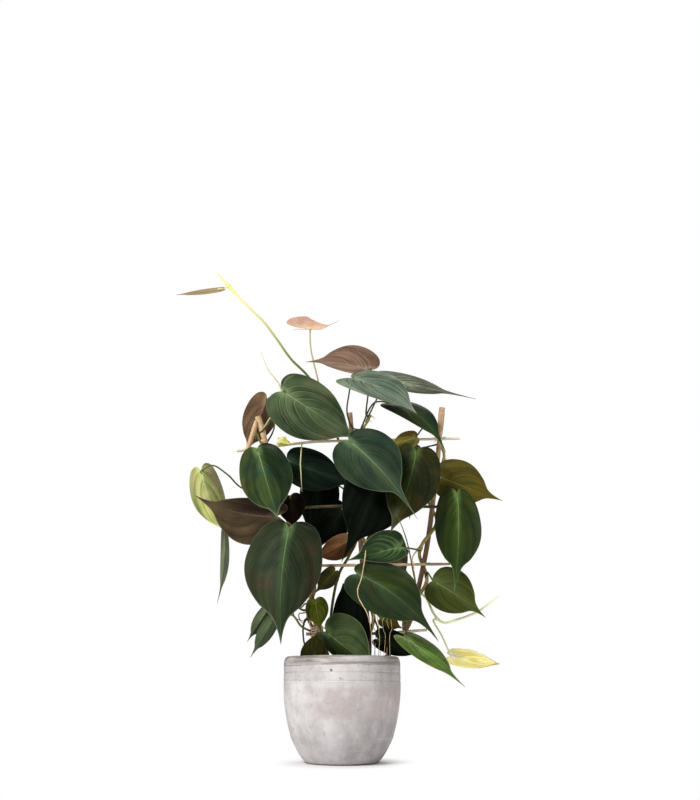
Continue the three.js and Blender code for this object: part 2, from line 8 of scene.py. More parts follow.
from __future__ import annotations

import json
import logging
import math
from dataclasses import dataclass
from enum import Enum
from functools import cache
from typing import Any, Sequence

import bpy
import numpy as np
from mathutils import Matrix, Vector, noise

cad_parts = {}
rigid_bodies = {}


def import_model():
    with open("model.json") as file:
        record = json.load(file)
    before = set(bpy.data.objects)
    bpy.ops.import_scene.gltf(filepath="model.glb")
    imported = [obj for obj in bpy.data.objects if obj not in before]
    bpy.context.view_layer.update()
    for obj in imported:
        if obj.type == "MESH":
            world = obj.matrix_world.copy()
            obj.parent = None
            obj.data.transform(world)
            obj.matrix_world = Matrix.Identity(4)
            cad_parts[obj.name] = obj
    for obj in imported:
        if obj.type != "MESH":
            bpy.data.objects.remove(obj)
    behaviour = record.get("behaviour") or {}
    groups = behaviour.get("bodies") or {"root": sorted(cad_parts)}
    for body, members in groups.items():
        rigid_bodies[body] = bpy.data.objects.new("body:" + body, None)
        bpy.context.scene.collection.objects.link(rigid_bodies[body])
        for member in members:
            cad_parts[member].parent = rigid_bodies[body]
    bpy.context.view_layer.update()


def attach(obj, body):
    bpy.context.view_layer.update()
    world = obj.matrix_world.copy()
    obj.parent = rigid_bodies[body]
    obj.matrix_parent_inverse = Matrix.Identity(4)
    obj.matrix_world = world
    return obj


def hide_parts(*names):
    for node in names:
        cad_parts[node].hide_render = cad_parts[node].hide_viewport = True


LOG = logging.getLogger("potted_philodendron")
MM = 0.001
UP = np.array([0.0, 0.0, 1.0])
WHITE = (1.0, 1.0, 1.0, 1.0)
# A full turn, as the random draws take it
TURN = 6.28
Colour = tuple[float, float, float, float]
Tones = Sequence[tuple[int, int, int]]
Uv = tuple[float, float]
Uvy = tuple[float, float, float]
Faces = list[tuple[int, ...]]
Mesh = bpy.types.Mesh
Material = bpy.types.Material
Piece = bpy.types.Object
Socket = bpy.types.NodeSocket


def paint(red: int, green: int, blue: int) -> Colour:
    """A colour as light values, from the 0 to 255 that a screen shows."""

    def light(value: int) -> float:
        """One channel."""
        share = value / 255
        return share / 12.92 if share <= 0.04045 else ((share + 0.055) / 1.055) ** 2.4

    return (light(red), light(green), light(blue), 1.0)


def placed(name: str, data: Any) -> Piece:
    """A new object in the scene."""
    made = bpy.data.objects.new(name, data)
    bpy.context.scene.collection.objects.link(made)
    return made


class FrontView:
    """The view from an eye a metre in front of the pot, on a sheet 700 by 800."""

    EYE = np.array([9.4, -1018.0, 86.0])
    TILT = math.radians(19.54)
    FOCUS = 800.0
    MIDDLE = (350.0, 400.0)
    SENSOR = 36.0
    LONG_SIDE = 800.0

    @classmethod
    def at(cls, u: float, v: float, y: float) -> np.ndarray:
        """The point at depth y that lies behind (u, v)."""
        side = (u - cls.MIDDLE[0]) / cls.FOCUS
        rise = (cls.MIDDLE[1] - v) / cls.FOCUS
        ahead = math.cos(cls.TILT) - rise * math.sin(cls.TILT)
        up = math.sin(cls.TILT) + rise * math.cos(cls.TILT)
        reach = (y - cls.EYE[1]) / ahead
        return np.array([cls.EYE[0] + reach * side, y, cls.EYE[2] + reach * up])

    @classmethod
    def points(cls, places: Sequence[Uvy]) -> list[np.ndarray]:
        """The points that lie behind some places."""
        return [cls.at(*place) for place in places]

    @classmethod
    def unit(cls, point: np.ndarray) -> float:
        """The millimetres that one unit of the sheet covers at a point."""
        away = point - cls.EYE
        return (away[1] * math.cos(cls.TILT) + away[2] * math.sin(cls.TILT)) / cls.FOCUS

    @classmethod
    def camera(cls) -> Piece:
        """The camera that sees this view."""
        data = bpy.data.cameras.new("front_camera")
        data.sensor_width = cls.SENSOR
        data.lens = cls.FOCUS * cls.SENSOR / cls.LONG_SIDE
        data.clip_start, data.clip_end = 0.01, 50.0
        camera = placed("front_camera", data)
        camera.location = Vector(cls.EYE * MM)
        camera.rotation_euler = (math.pi / 2 + cls.TILT, 0.0, 0.0)
        bpy.context.scene.camera = camera
        return camera


# Curves


def unit_vector(vector: np.ndarray) -> np.ndarray:
    """A vector of length one, the same way."""
    return vector / max(float(np.linalg.norm(vector)), 1e-9)


def through(points: Sequence[Any], steps: int, clamped: bool = False) -> np.ndarray:
    """Places along the smooth curve through some points.

    Args:
        points: The points, one a row.
        steps: How many spans of equal parameter the curve is read in.
        clamped: Whether the end points stand in for the ones past them.

    Returns:
        steps + 1 places.
    """
    points = np.asarray(points, float)
    before = points[0] if clamped else 2 * points[0] - points[1]
    after = points[-1] if clamped else 2 * points[-1] - points[-2]
    known = np.vstack([before, points, after])
    share = np.linspace(0, len(points) - 1, steps + 1)
    span = np.minimum(share.astype(int), len(points) - 2)
    t = (share - span)[:, None]
    p0, p1, p2, p3 = (known[span + k] for k in range(4))
    v0, v1 = (p2 - p0) / 2, (p3 - p1) / 2
    return (2 * p1 - 2 * p2 + v0 + v1) * t**3 + (3 * p2 - 3 * p1 - 2 * v0 - v1) * t**2 + v0 * t + p1


def evenly(points: Sequence[Any], spacing: float) -> np.ndarray:
    """The smooth curve through some points, in steps of about one length."""
    steps_to_a_span = 24
    fine = through(points, steps_to_a_span * (len(points) - 1))
    length = np.concatenate([[0], np.cumsum(np.linalg.norm(np.diff(fine, axis=0), axis=1))])
    places = np.linspace(0, length[-1], max(3, round(length[-1] / spacing)) + 1)
    return np.column_stack([np.interp(places, length, fine[:, k]) for k in range(3)])


# Node trees


class Wiring:
    """Adds and links the nodes of one tree."""

    def __init__(self, tree: bpy.types.NodeTree) -> None:
        """Starts on a tree."""
        self.tree = tree

    def feed(self, node: bpy.types.Node, inputs: dict[Any, Any]) -> None:
        """Sets or links inputs of a node, by name or number."""
        for name, value in inputs.items():
            if isinstance(value, Socket):
                self.tree.links.new(value, node.inputs[name])
            else:
                node.inputs[name].default_value = value

    def node(self, kind: str, inputs: dict[Any, Any] | None = None, **settings: Any) -> bpy.types.Node:
        """Adds a node.

        Args:
            kind: Its type.
            inputs: Values or sockets for its inputs, by name or number.
            **settings: Its properties.

        Returns:
            The node.
        """
        made = self.tree.nodes.new(kind)
        for name, value in settings.items():
            setattr(made, name, value)
        self.feed(made, inputs or {})
        return made

    def out(self, kind: str, inputs: dict[Any, Any] | None = None, **settings: Any) -> Socket:
        """Adds a node, as above, and gives its first output."""
        return self.node(kind, inputs, **settings).outputs[0]

    def maths(self, operation: str, *values: Any, clamp: bool = False) -> Socket:
        """One step of arithmetic."""
        return self.out("ShaderNodeMath", dict(enumerate(values)), operation=operation, use_clamp=clamp)

    def times(self, first: Any, second: Any, clamp: bool = False) -> Socket:
        """One value times another."""
        return self.maths("MULTIPLY", first, second, clamp=clamp)

    def plus(self, first: Any, second: Any) -> Socket:
        """One value and another."""
        return self.maths("ADD", first, second)

    def minus(self, first: Any, second: Any) -> Socket:
        """One value less another."""
        return self.maths("SUBTRACT", first, second)

    def fit(
        self, value: Any, low: Any, high: Any, to_low: float = 0.0, to_high: float = 1.0, soft: bool = True
    ) -> Socket:
        """A value carried from one range to another, and kept inside it."""
        inputs = {0: value, 1: low, 2: high, 3: to_low, 4: to_high}
        kind = "SMOOTHSTEP" if soft else "LINEAR"
        return self.out("ShaderNodeMapRange", inputs, interpolation_type=kind)

    def line(self, distance: Any, half_width: Any) -> Socket:
        """One where a distance is nought, falling softly to nought at the half width."""
        return self.fit(distance, half_width, 0.0)

    def mix(self, share: Any, first: Any, second: Any, blend: str = "MIX") -> Socket:
        """Two colours mixed."""
        made = self.node("ShaderNodeMix", {0: share, 6: first, 7: second}, data_type="RGBA", blend_type=blend)
        return made.outputs[2]

    def noise(self, vector: Any, scale: Any, detail: float = 3.0, rough: float = 0.5) -> Socket:
        """Cloudy noise from 0 to 1."""
        return self.out(
            "ShaderNodeTexNoise", {"Vector": vector, "Scale": scale, "Detail": detail, "Roughness": rough}
        )

    def attribute(self, name: str) -> Socket:
        """A number stored on the mesh."""
        return self.node("ShaderNodeAttribute", attribute_name=name).outputs["Fac"]

    def place(self, stretch: Uvy = (1.0, 1.0, 1.0), shift: Uvy = (0.0, 0.0, 0.0)) -> Socket:
        """The place on the object, stretched and shifted."""
        spot = self.node("ShaderNodeTexCoord").outputs["Object"]
        return self.out("ShaderNodeMapping", {"Vector": spot, "Scale": stretch, "Location": shift})

    def bump(self, height: Any, strength: float, depth: float) -> Socket:
        """The normal over a height, with its depth in millimetres."""
        return self.out("ShaderNodeBump", {"Height": height, "Strength": strength, "Distance": depth * MM})


def shader_group(
    name: str, inputs: dict[str, Any], outputs: Sequence[str]
) -> tuple[Wiring, Any, bpy.types.Node]:
    """Starts a shader node group.

    Args:
        name: Its name.
        inputs: Each input's name and default, which gives its kind.
        outputs: The outputs' names: Colour is a colour, and any other a number.

    Returns:
        The wiring, the input sockets, and the node that the outputs are fed to.
    """
    tree = bpy.data.node_groups.new(name, "ShaderNodeTree")
    for key, value in inputs.items():
        kind = "Float" if isinstance(value, float) else {3: "Vector", 4: "Color"}[len(value)]
        socket = tree.interface.new_socket(key, in_out="INPUT", socket_type="NodeSocket" + kind)
        socket.default_value = value
    for key in outputs:
        kind = "Color" if key == "Colour" else "Float"
        tree.interface.new_socket(key, in_out="OUTPUT", socket_type="NodeSocket" + kind)
    wiring = Wiring(tree)
    return wiring, wiring.node("NodeGroupInput").outputs, wiring.node("NodeGroupOutput")


# Shader groups that several finishes share, each built once


@cache
def blade_markings() -> bpy.types.NodeTree:
    """Veins, midrib and rim of a blade, from the numbers stored on its mesh."""
    sizes = {"Vein": 0.45, "Fine Vein": 0.3, "Glow": 2.2, "Furrow": 1.3, "Rib": 1.1, "Rim": 0.8}
    names = ("Veins", "Fine", "Glow", "Furrow", "Streak", "Midrib", "Rim", "Dip")
    w, given, out = shader_group("Blade markings", sizes, names)
    phase, gap = w.attribute("vein_phase"), w.attribute("vein_gap")
    rib, rim, along = w.attribute("rib_mm"), w.attribute("edge_mm"), w.attribute("along")
    wandering = w.plus(phase, w.times(w.minus(w.noise(w.place(), 60.0, 2.0), 0.5), 0.3))
    off = w.maths("ABSOLUTE", w.minus(w.maths("FRACT", wandering), 0.5))
    away = w.times(off, gap)
    # Furrow: the line beside each vein where painted shade is laid
    beside = w.minus(w.maths("FRACT", w.plus(wandering, 0.17)), 0.5)
    furrow_off = w.times(w.maths("ABSOLUTE", beside), gap)
    third = w.maths("FRACT", w.times(wandering, 3.0))
    fine_off = w.times(w.maths("ABSOLUTE", w.minus(third, 0.5)), w.maths("DIVIDE", gap, 3.0))
    ebb = w.times(w.fit(rim, 0.0, 9.0, 0.1), w.fit(along, 0.9, 0.35, 0.15))
    veins = w.times(w.line(away, given["Vein"]), ebb)
    fine = w.times(w.line(fine_off, given["Fine Vein"]), w.fit(gap, 5.0, 9.0))
    middle = w.line(rib, w.times(given["Rib"], w.fit(along, 0.0, 1.0, 1.0, 0.25)))
    # Streak: painted light and shade in broad bands between the veins, lighter midway between them
    apart = w.node("ShaderNodeSeparateXYZ", {0: w.place()}).outputs
    slow = w.times(w.plus(apart[0], apart[2]), 9.0)
    swept = w.out("ShaderNodeCombineXYZ", {0: phase, 1: w.times(rib, 0.03), 2: slow})
    broad = w.fit(w.noise(swept, 0.8, 2.0), 0.3, 0.7, 0.0, 0.8)
    band = w.times(w.fit(off, 0.0, 0.4), w.fit(rib, 0.5, 6.0))
    w.feed(out, {
        "Veins": veins,
        "Fine": w.times(fine, w.fit(rim, 0.0, 5.0)),
        "Glow": w.times(w.line(away, given["Glow"]), ebb),
        "Furrow": w.times(w.line(furrow_off, given["Furrow"]), w.fit(rib, 1.5, 5.0)),
        "Streak": w.plus(broad, w.times(band, 0.2)),
        "Midrib": middle,
        "Rim": w.line(rim, given["Rim"]),
        "Dip": w.maths("MAXIMUM", w.times(veins, 0.6), middle),
    })
    return w.tree


@cache
def cloudy_mottle() -> bpy.types.NodeTree:
    """Slow clouds of a second and a third colour, with a fine grain for the height."""
    tones = {"Colour": paint(60, 80, 60), "Second": paint(50, 60, 60), "Third": paint(80, 70, 50)}
    sizes = {"Cloud": 25.0, "Grain": 900.0}
    w, given, out = shader_group("Cloudy mottle", {**tones, **sizes}, ("Colour", "Cloud", "Height"))
    spot = w.place()
    cloud = w.noise(spot, given["Cloud"], 4.0, 0.55)
    other = w.noise(w.place(shift=(0.31, 0.17, 0.53)), given["Cloud"])
    first = w.mix(w.fit(cloud, 0.38, 0.66), given["Colour"], given["Second"])
    second = w.mix(w.fit(other, 0.5, 0.75), first, given["Third"])
    w.feed(out, {"Colour": second, "Cloud": cloud, "Height": w.noise(spot, given["Grain"], 2.0, 0.6)})
    return w.tree


@cache
def long_fibres() -> bpy.types.NodeTree:
    """Long fibres of cane, bark and stalk, drawn out by a stretch."""
    inputs = {"Light": paint(225, 190, 160), "Dark": paint(150, 105, 75), "Stretch": (1.0, 1.0, 0.05)}
    sizes = {"Scale": 1400.0, "Share": 0.5}
    w, given, out = shader_group("Long fibres", {**inputs, **sizes}, ("Colour", "Height"))
    spot = w.node("ShaderNodeTexCoord").outputs["Object"]
    drawn = w.out("ShaderNodeVectorMath", {0: spot, 1: given["Stretch"]}, operation="MULTIPLY")
    fine, slow = w.noise(drawn, given["Scale"], 3.0, 0.6), w.noise(spot, 45.0)
    blend = w.plus(w.times(fine, 0.55), w.times(slow, 0.65))
    share = w.times(w.fit(blend, 0.42, 0.78), w.times(given["Share"], 2.0), clamp=True)
    w.feed(out, {"Colour": w.mix(share, given["Light"], given["Dark"]), "Height": fine})
    return w.tree


# Finishes


@dataclass(frozen=True)
class Finish:
    """A procedural finish, whose material is made once."""

    name: str

    def surface(self, w: Wiring) -> dict[str, Any]:
        """What the inputs of the material's shader are given."""
        raise NotImplementedError

    def material(self) -> Material:
        """The material."""
        if self.name not in bpy.data.materials:
            made = bpy.data.materials.new(self.name)
            made.use_nodes = True
            w = Wiring(made.node_tree)
            w.feed(made.node_tree.nodes["Principled BSDF"], self.surface(w))
        return bpy.data.materials[self.name]


@dataclass(frozen=True)
class BladeFinish(Finish):
    """The look of one face of a blade: velvet or underside, with its veins."""

    colour: Colour
    second: Colour
    third: Colour
    vein: Colour
    rim: Colour
    vein_share: float = 0.1
    fine_share: float = 0.04
    glow_share: float = 0.06
    rib_share: float = 0.85
    rim_share: float = 0.6
    halo: float = 0.16
    halo_mm: float = 10.0
    heart: float = 0.5
    heart_mm: float = 11.0
    rib: float = 1.2
    sink: float = 1.0
    # How dark the painted shade line beside each vein is; furrow_mm is its width
    furrow: float = 0.25
    furrow_mm: float = 1.3
    glow_mm: float = 2.2
    shade: float = 0.4
    grain: float = 0.25
    sheen: float = 0.05
    sheen_tint: Colour = (0.45, 0.6, 0.4, 1.0)
    gloss: float = 0.1
    rough: float = 0.55
    # Painted light and shade on each half of the blade, strongest near the base and fading towards the tip
    left_tint: Colour = WHITE
    right_tint: Colour = WHITE

    def surface(self, w: Wiring) -> dict[str, Any]:
        """The clouded ground with painted light and shade on each half, veins, midrib and rim, and their
        relief.
        """
        tones = {"Colour": self.colour, "Second": self.second, "Third": self.third}
        ground = w.node("ShaderNodeGroup", tones, node_tree=cloudy_mottle()).outputs
        sizes = {"Rib": self.rib, "Furrow": self.furrow_mm, "Glow": self.glow_mm}
        drawn = w.node("ShaderNodeGroup", sizes, node_tree=blade_markings()).outputs
        along, rib = w.attribute("along"), w.attribute("rib_mm")
        # Painted light and shade: the bands between the veins made lighter or darker
        shade = w.fit(drawn["Streak"], 0.0, 1.0, 1 - self.shade, 1 + self.shade, soft=False)
        # Painted shade: a darker line beside each vein
        shade = w.times(shade, w.minus(1.0, w.times(drawn["Furrow"], self.furrow)))
        colour = w.mix(1.0, ground["Colour"], shade, "MULTIPLY")
        # Painted light and shade: one half lighter and the other darker
        tint = w.mix(w.fit(w.attribute("side"), -1.0, 1.0), self.right_tint, self.left_tint)
        colour = w.mix(w.fit(along, 0.85, 0.25), colour, tint, "MULTIPLY")
        fade = w.fit(along, 0.0, 0.8, 1.0, 0.3)
        for layer in (
            w.times(w.times(drawn["Glow"], self.glow_share), fade),
            w.times(w.times(drawn["Fine"], self.fine_share), fade),
            w.times(w.times(drawn["Veins"], self.vein_share), fade),
            w.times(w.fit(rib, self.halo_mm, 0.0, 0.0, self.halo), fade),
            w.times(w.fit(along, 0.14, 0.0, 0.0, self.heart), w.fit(rib, self.heart_mm, 0.0)),
            w.times(drawn["Midrib"], w.times(fade, self.rib_share)),
        ):
            colour = w.mix(layer, colour, self.vein)
        height = w.minus(w.times(ground["Height"], self.grain), w.times(drawn["Dip"], self.sink))
        return {
            "Base Color": w.mix(w.times(drawn["Rim"], self.rim_share), colour, self.rim),
            "Roughness": w.fit(ground["Cloud"], 0.3, 0.7, self.rough - 0.1, self.rough + 0.1),
            "Normal": w.bump(height, 0.6, 0.35),
            "Sheen Weight": self.sheen,
            "Sheen Tint": self.sheen_tint,
            "Sheen Roughness": 0.4,
            "Specular IOR Level": self.gloss,
        }


@dataclass(frozen=True)
class FibreFinish(Finish):
    """The look of cane, bark, stalk, root or wire."""

    light: Colour
    dark: Colour
    stretch: Uvy = (1.0, 1.0, 0.05)
    share: float = 0.5
    scale: float = 1400.0
    rough: float = 0.55
    depth: float = 0.12
    coat: float = 0.0
    tip: Colour | None = None
    turn: Uv = (0.15, 1.0)
    metal: float = 0.0

    def surface(self, w: Wiring) -> dict[str, Any]:
        """Fibres that turn to the tip's colour, darker at each ring."""
        inputs = {"Light": self.light, "Dark": self.dark, "Stretch": self.stretch}
        sizes = {"Share": self.share, "Scale": self.scale}
        cane = w.node("ShaderNodeGroup", {**inputs, **sizes}, node_tree=long_fibres()).outputs
        colour = cane["Colour"]
        # The tip's colour: painted shade at the foot of the shaded posts, and partly a painted highlight at
        # the runner's tip
        if self.tip:
            colour = w.mix(w.fit(w.attribute("along"), *self.turn), colour, self.tip)
        return {
            "Base Color": w.mix(w.times(w.attribute("ring"), 0.55), colour, self.dark),
            "Roughness": w.fit(cane["Height"], 0.3, 0.7, self.rough - 0.08, self.rough + 0.12),
            "Normal": w.bump(cane["Height"], 0.5, self.depth),
            "Metallic": self.metal,
            "Coat Weight": self.coat,
            "Coat Roughness": 0.35,
            "Specular IOR Level": 0.25,
        }


@dataclass(frozen=True)
class ConcreteFinish(Finish):
    """Cast concrete: pale at the left, greyer to the right as painted shade and darker towards the foot, with
    air holes and a streaky lip.
    """

    name: str = "cast_concrete"
    pale: Colour = paint(222, 217, 216)
    grey: Colour = paint(190, 183, 182)
    # Also the colour of the painted shade to the right and of the darkening towards the foot
    low: Colour = paint(136, 129, 130)
    blush: Colour = paint(188, 174, 172)
    lip: Colour = paint(150, 138, 128)
    # The air holes' colour, also used for the painted shade in the grooves, under the lip and at the foot
    hole: Colour = paint(70, 62, 60)
    height: float = 117.0
    lip_band: float = 10.5
    grooves: Uv = (91.0, 99.5)
    blush_band: Uv = (52.0, 82.0)

    @staticmethod
    def banded(w: Wiring, z: Any, low: float, high: float, soft: float) -> Socket:
        """One between two heights in millimetres, with soft ends."""
        rise = w.fit(z, (low - soft) * MM, (low + soft) * MM)
        return w.times(rise, w.fit(z, (high + soft) * MM, (high - soft) * MM))

    def stains_and_shade(self, w: Wiring, x: Any, z: Any, cloud: Any) -> Socket:
        """The ground: pale with grey clouds, painted shade darker to the right, darker towards the foot, and
        a blush on the belly.
        """
        wash = w.noise(w.place((1.0, 1.0, 0.35), (0.2, 0.0, 0.4)), 55.0, 5.0, 0.6)
        colour = w.mix(w.fit(cloud, 0.36, 0.66), self.pale, self.grey)
        # Painted shade: darker to the right, away from the light, and darker towards the foot
        sink = w.plus(w.fit(z, self.height * 0.6 * MM, 0.0, 0.0, 0.45), w.fit(x, -0.04, 0.07, 0.0, 0.6))
        colour = w.mix(w.times(sink, w.fit(wash, 0.2, 0.75, 0.25, 1.0), clamp=True), colour, self.low)
        patch = w.fit(w.noise(w.place(shift=(0.05, 0.02, 0.012)), 34.0, 4.0), 0.42, 0.56, 0.15, 0.85)
        patch = w.times(self.banded(w, z, *self.blush_band, 5.0), patch)
        return w.mix(w.times(patch, w.fit(x, -0.045, -0.01)), colour, self.blush)

    def shadows(self, w: Wiring, z: Any, uneven: Any, cloud: Any) -> Socket:
        """How much painted shade darkens the grooves, the lip's lower edge and the foot."""
        lip_low = self.height - self.lip_band
        edge = self.banded(w, uneven, lip_low - 0.4, lip_low + 0.5, 0.5)
        dark = w.times(edge, w.fit(cloud, 0.42, 0.6, 0.1, 0.8))
        for groove in self.grooves:
            line = self.banded(w, uneven, groove - 0.4, groove + 0.4, 0.5)
            dark = w.maths("MAXIMUM", dark, w.times(line, w.fit(cloud, 0.5, 0.64, 0.0, 0.42)))
        return w.maths("MAXIMUM", dark, w.fit(z, 2.5 * MM, 0.4 * MM, 0.0, 0.7))

    @staticmethod
    def air_holes(w: Wiring, spot: Any) -> Socket:
        """One in each air hole: a few cells have one, of many sizes."""
        cell = w.node("ShaderNodeTexVoronoi", {"Vector": spot, "Scale": 85.0, "Randomness": 1.0})
        draw = w.out("ShaderNodeSeparateColor", {0: cell.outputs["Color"]})
        size = w.fit(draw, 0.72, 1.0, 0.001, 0.17, soft=False)
        near = w.maths("DIVIDE", cell.outputs["Distance"], size)
        return w.times(w.fit(near, 1.0, 0.55), w.fit(draw, 0.72, 0.76))

    def surface(self, w: Wiring) -> dict[str, Any]:
        """The stains and painted shade, streaks, grooves and holes, and their relief."""
        spot = w.place()
        apart = w.node("ShaderNodeSeparateXYZ", {0: spot}).outputs
        x, z = apart[0], apart[2]
        cloud, fine = w.noise(spot, 26.0, 6.0, 0.6), w.noise(spot, 190.0, 5.0, 0.65)
        streak = w.noise(w.place((0.25, 0.25, 3.0)), 70.0, 4.0, 0.6)
        colour = self.stains_and_shade(w, x, z, cloud)
        colour = w.mix(w.fit(streak, 0.56, 0.7, 0.0, 0.4), colour, self.grey)
        colour = w.mix(w.fit(fine, 0.54, 0.74, 0.0, 0.4), colour, self.low)
        colour = w.mix(w.fit(fine, 0.42, 0.26, 0.0, 0.35), colour, self.pale)
        uneven = w.plus(z, w.times(w.minus(cloud, 0.5), 0.005))
        band = self.banded(w, uneven, self.height - self.lip_band, 2 * self.height, 0.8)
        colour = w.mix(w.times(band, w.fit(streak, 0.4, 0.6, 0.1, 1.0)), colour, self.lip)
        dark, holes = self.shadows(w, z, uneven, cloud), self.air_holes(w, spot)
        # Painted shade in the grooves, under the lip and at the foot
        colour = w.mix(w.times(dark, 0.75), colour, self.hole)
        height = w.plus(w.times(fine, 0.6), w.times(streak, 0.3))
        height = w.minus(height, w.plus(holes, w.times(dark, 0.5)))
        return {
            "Base Color": w.mix(w.times(holes, 0.8), colour, self.hole),
            "Roughness": w.fit(fine, 0.3, 0.7, 0.72, 0.95),
            "Normal": w.bump(height, 0.6, 0.7),
            "Specular IOR Level": 0.3,
        }


@dataclass(frozen=True)
class SoilFinish(Finish):
    """Potting soil and what is scattered in it."""

    dark: Colour
    light: Colour
    rough: float = 0.95

    def surface(self, w: Wiring) -> dict[str, Any]:
        """Clods and grains of a lighter colour."""
        spot = w.place()
        clods, grains = w.noise(spot, 180.0, 5.0, 0.7), w.noise(spot, 700.0, 3.0, 0.6)
        colour = w.mix(w.fit(clods, 0.4, 0.7), self.dark, self.light)
        return {
            "Base Color": w.mix(w.fit(grains, 0.6, 0.8, 0.0, 0.5), colour, self.light),
            "Roughness": self.rough,
            "Normal": w.bump(w.plus(clods, w.times(grains, 0.4)), 0.8, 1.2),
        }


@dataclass(frozen=True)
class PlasticFinish(Finish):
    """The thin black plastic of the grower's pot."""

    name: str = "black_plastic"
    colour: Colour = paint(30, 30, 32)
    dusty: Colour = paint(84, 76, 68)

    def surface(self, w: Wiring) -> dict[str, Any]:
        """Black with patches of dust."""
        dust = w.fit(w.noise(w.place(), 120.0, 5.0, 0.6), 0.5, 0.75, 0.0, 0.6)
        return {
            "Base Color": w.mix(dust, self.colour, self.dusty),
            "Roughness": w.fit(dust, 0.0, 0.6, 0.38, 0.8),
            "Normal": w.bump(w.noise(w.place(), 500.0, 2.0), 0.3, 0.1),
        }


def blade_finish(name: str, tones: Tones, **values: Any) -> BladeFinish:
    """A blade's finish from its ground, second, third, vein and rim colours."""
    return BladeFinish(name, *(paint(*tone) for tone in tones), **values)


def under_finish(name: str, tones: Tones, **values: Any) -> BladeFinish:
    """An underside's finish, with its midrib standing out."""
    usual = {"sheen_tint": paint(190, 150, 136), "rib": 1.8, "sink": -1.0}
    return blade_finish(name, tones, **{**usual, **values})


Pair = tuple[BladeFinish, BladeFinish]
UNDERSIDE = under_finish(
    "underside_maroon", [(77, 66, 42), (60, 48, 34), (90, 80, 52), (146, 124, 98), (122, 100, 76)],
    rib_share=0.55,
)
DARK_UNDERSIDE = under_finish(
    "underside_dark", [(22, 18, 14), (14, 10, 8), (26, 22, 14), (50, 40, 30), (44, 36, 28)], sheen=0.03,
    gloss=0.05, rib_share=0.4,
)


def both_faces(name: str, tones: Tones, under: BladeFinish = UNDERSIDE, **values: Any) -> Pair:
    """The two faces of a blade whose underside is one that many leaves share."""
    return blade_finish(name, tones, **values), under


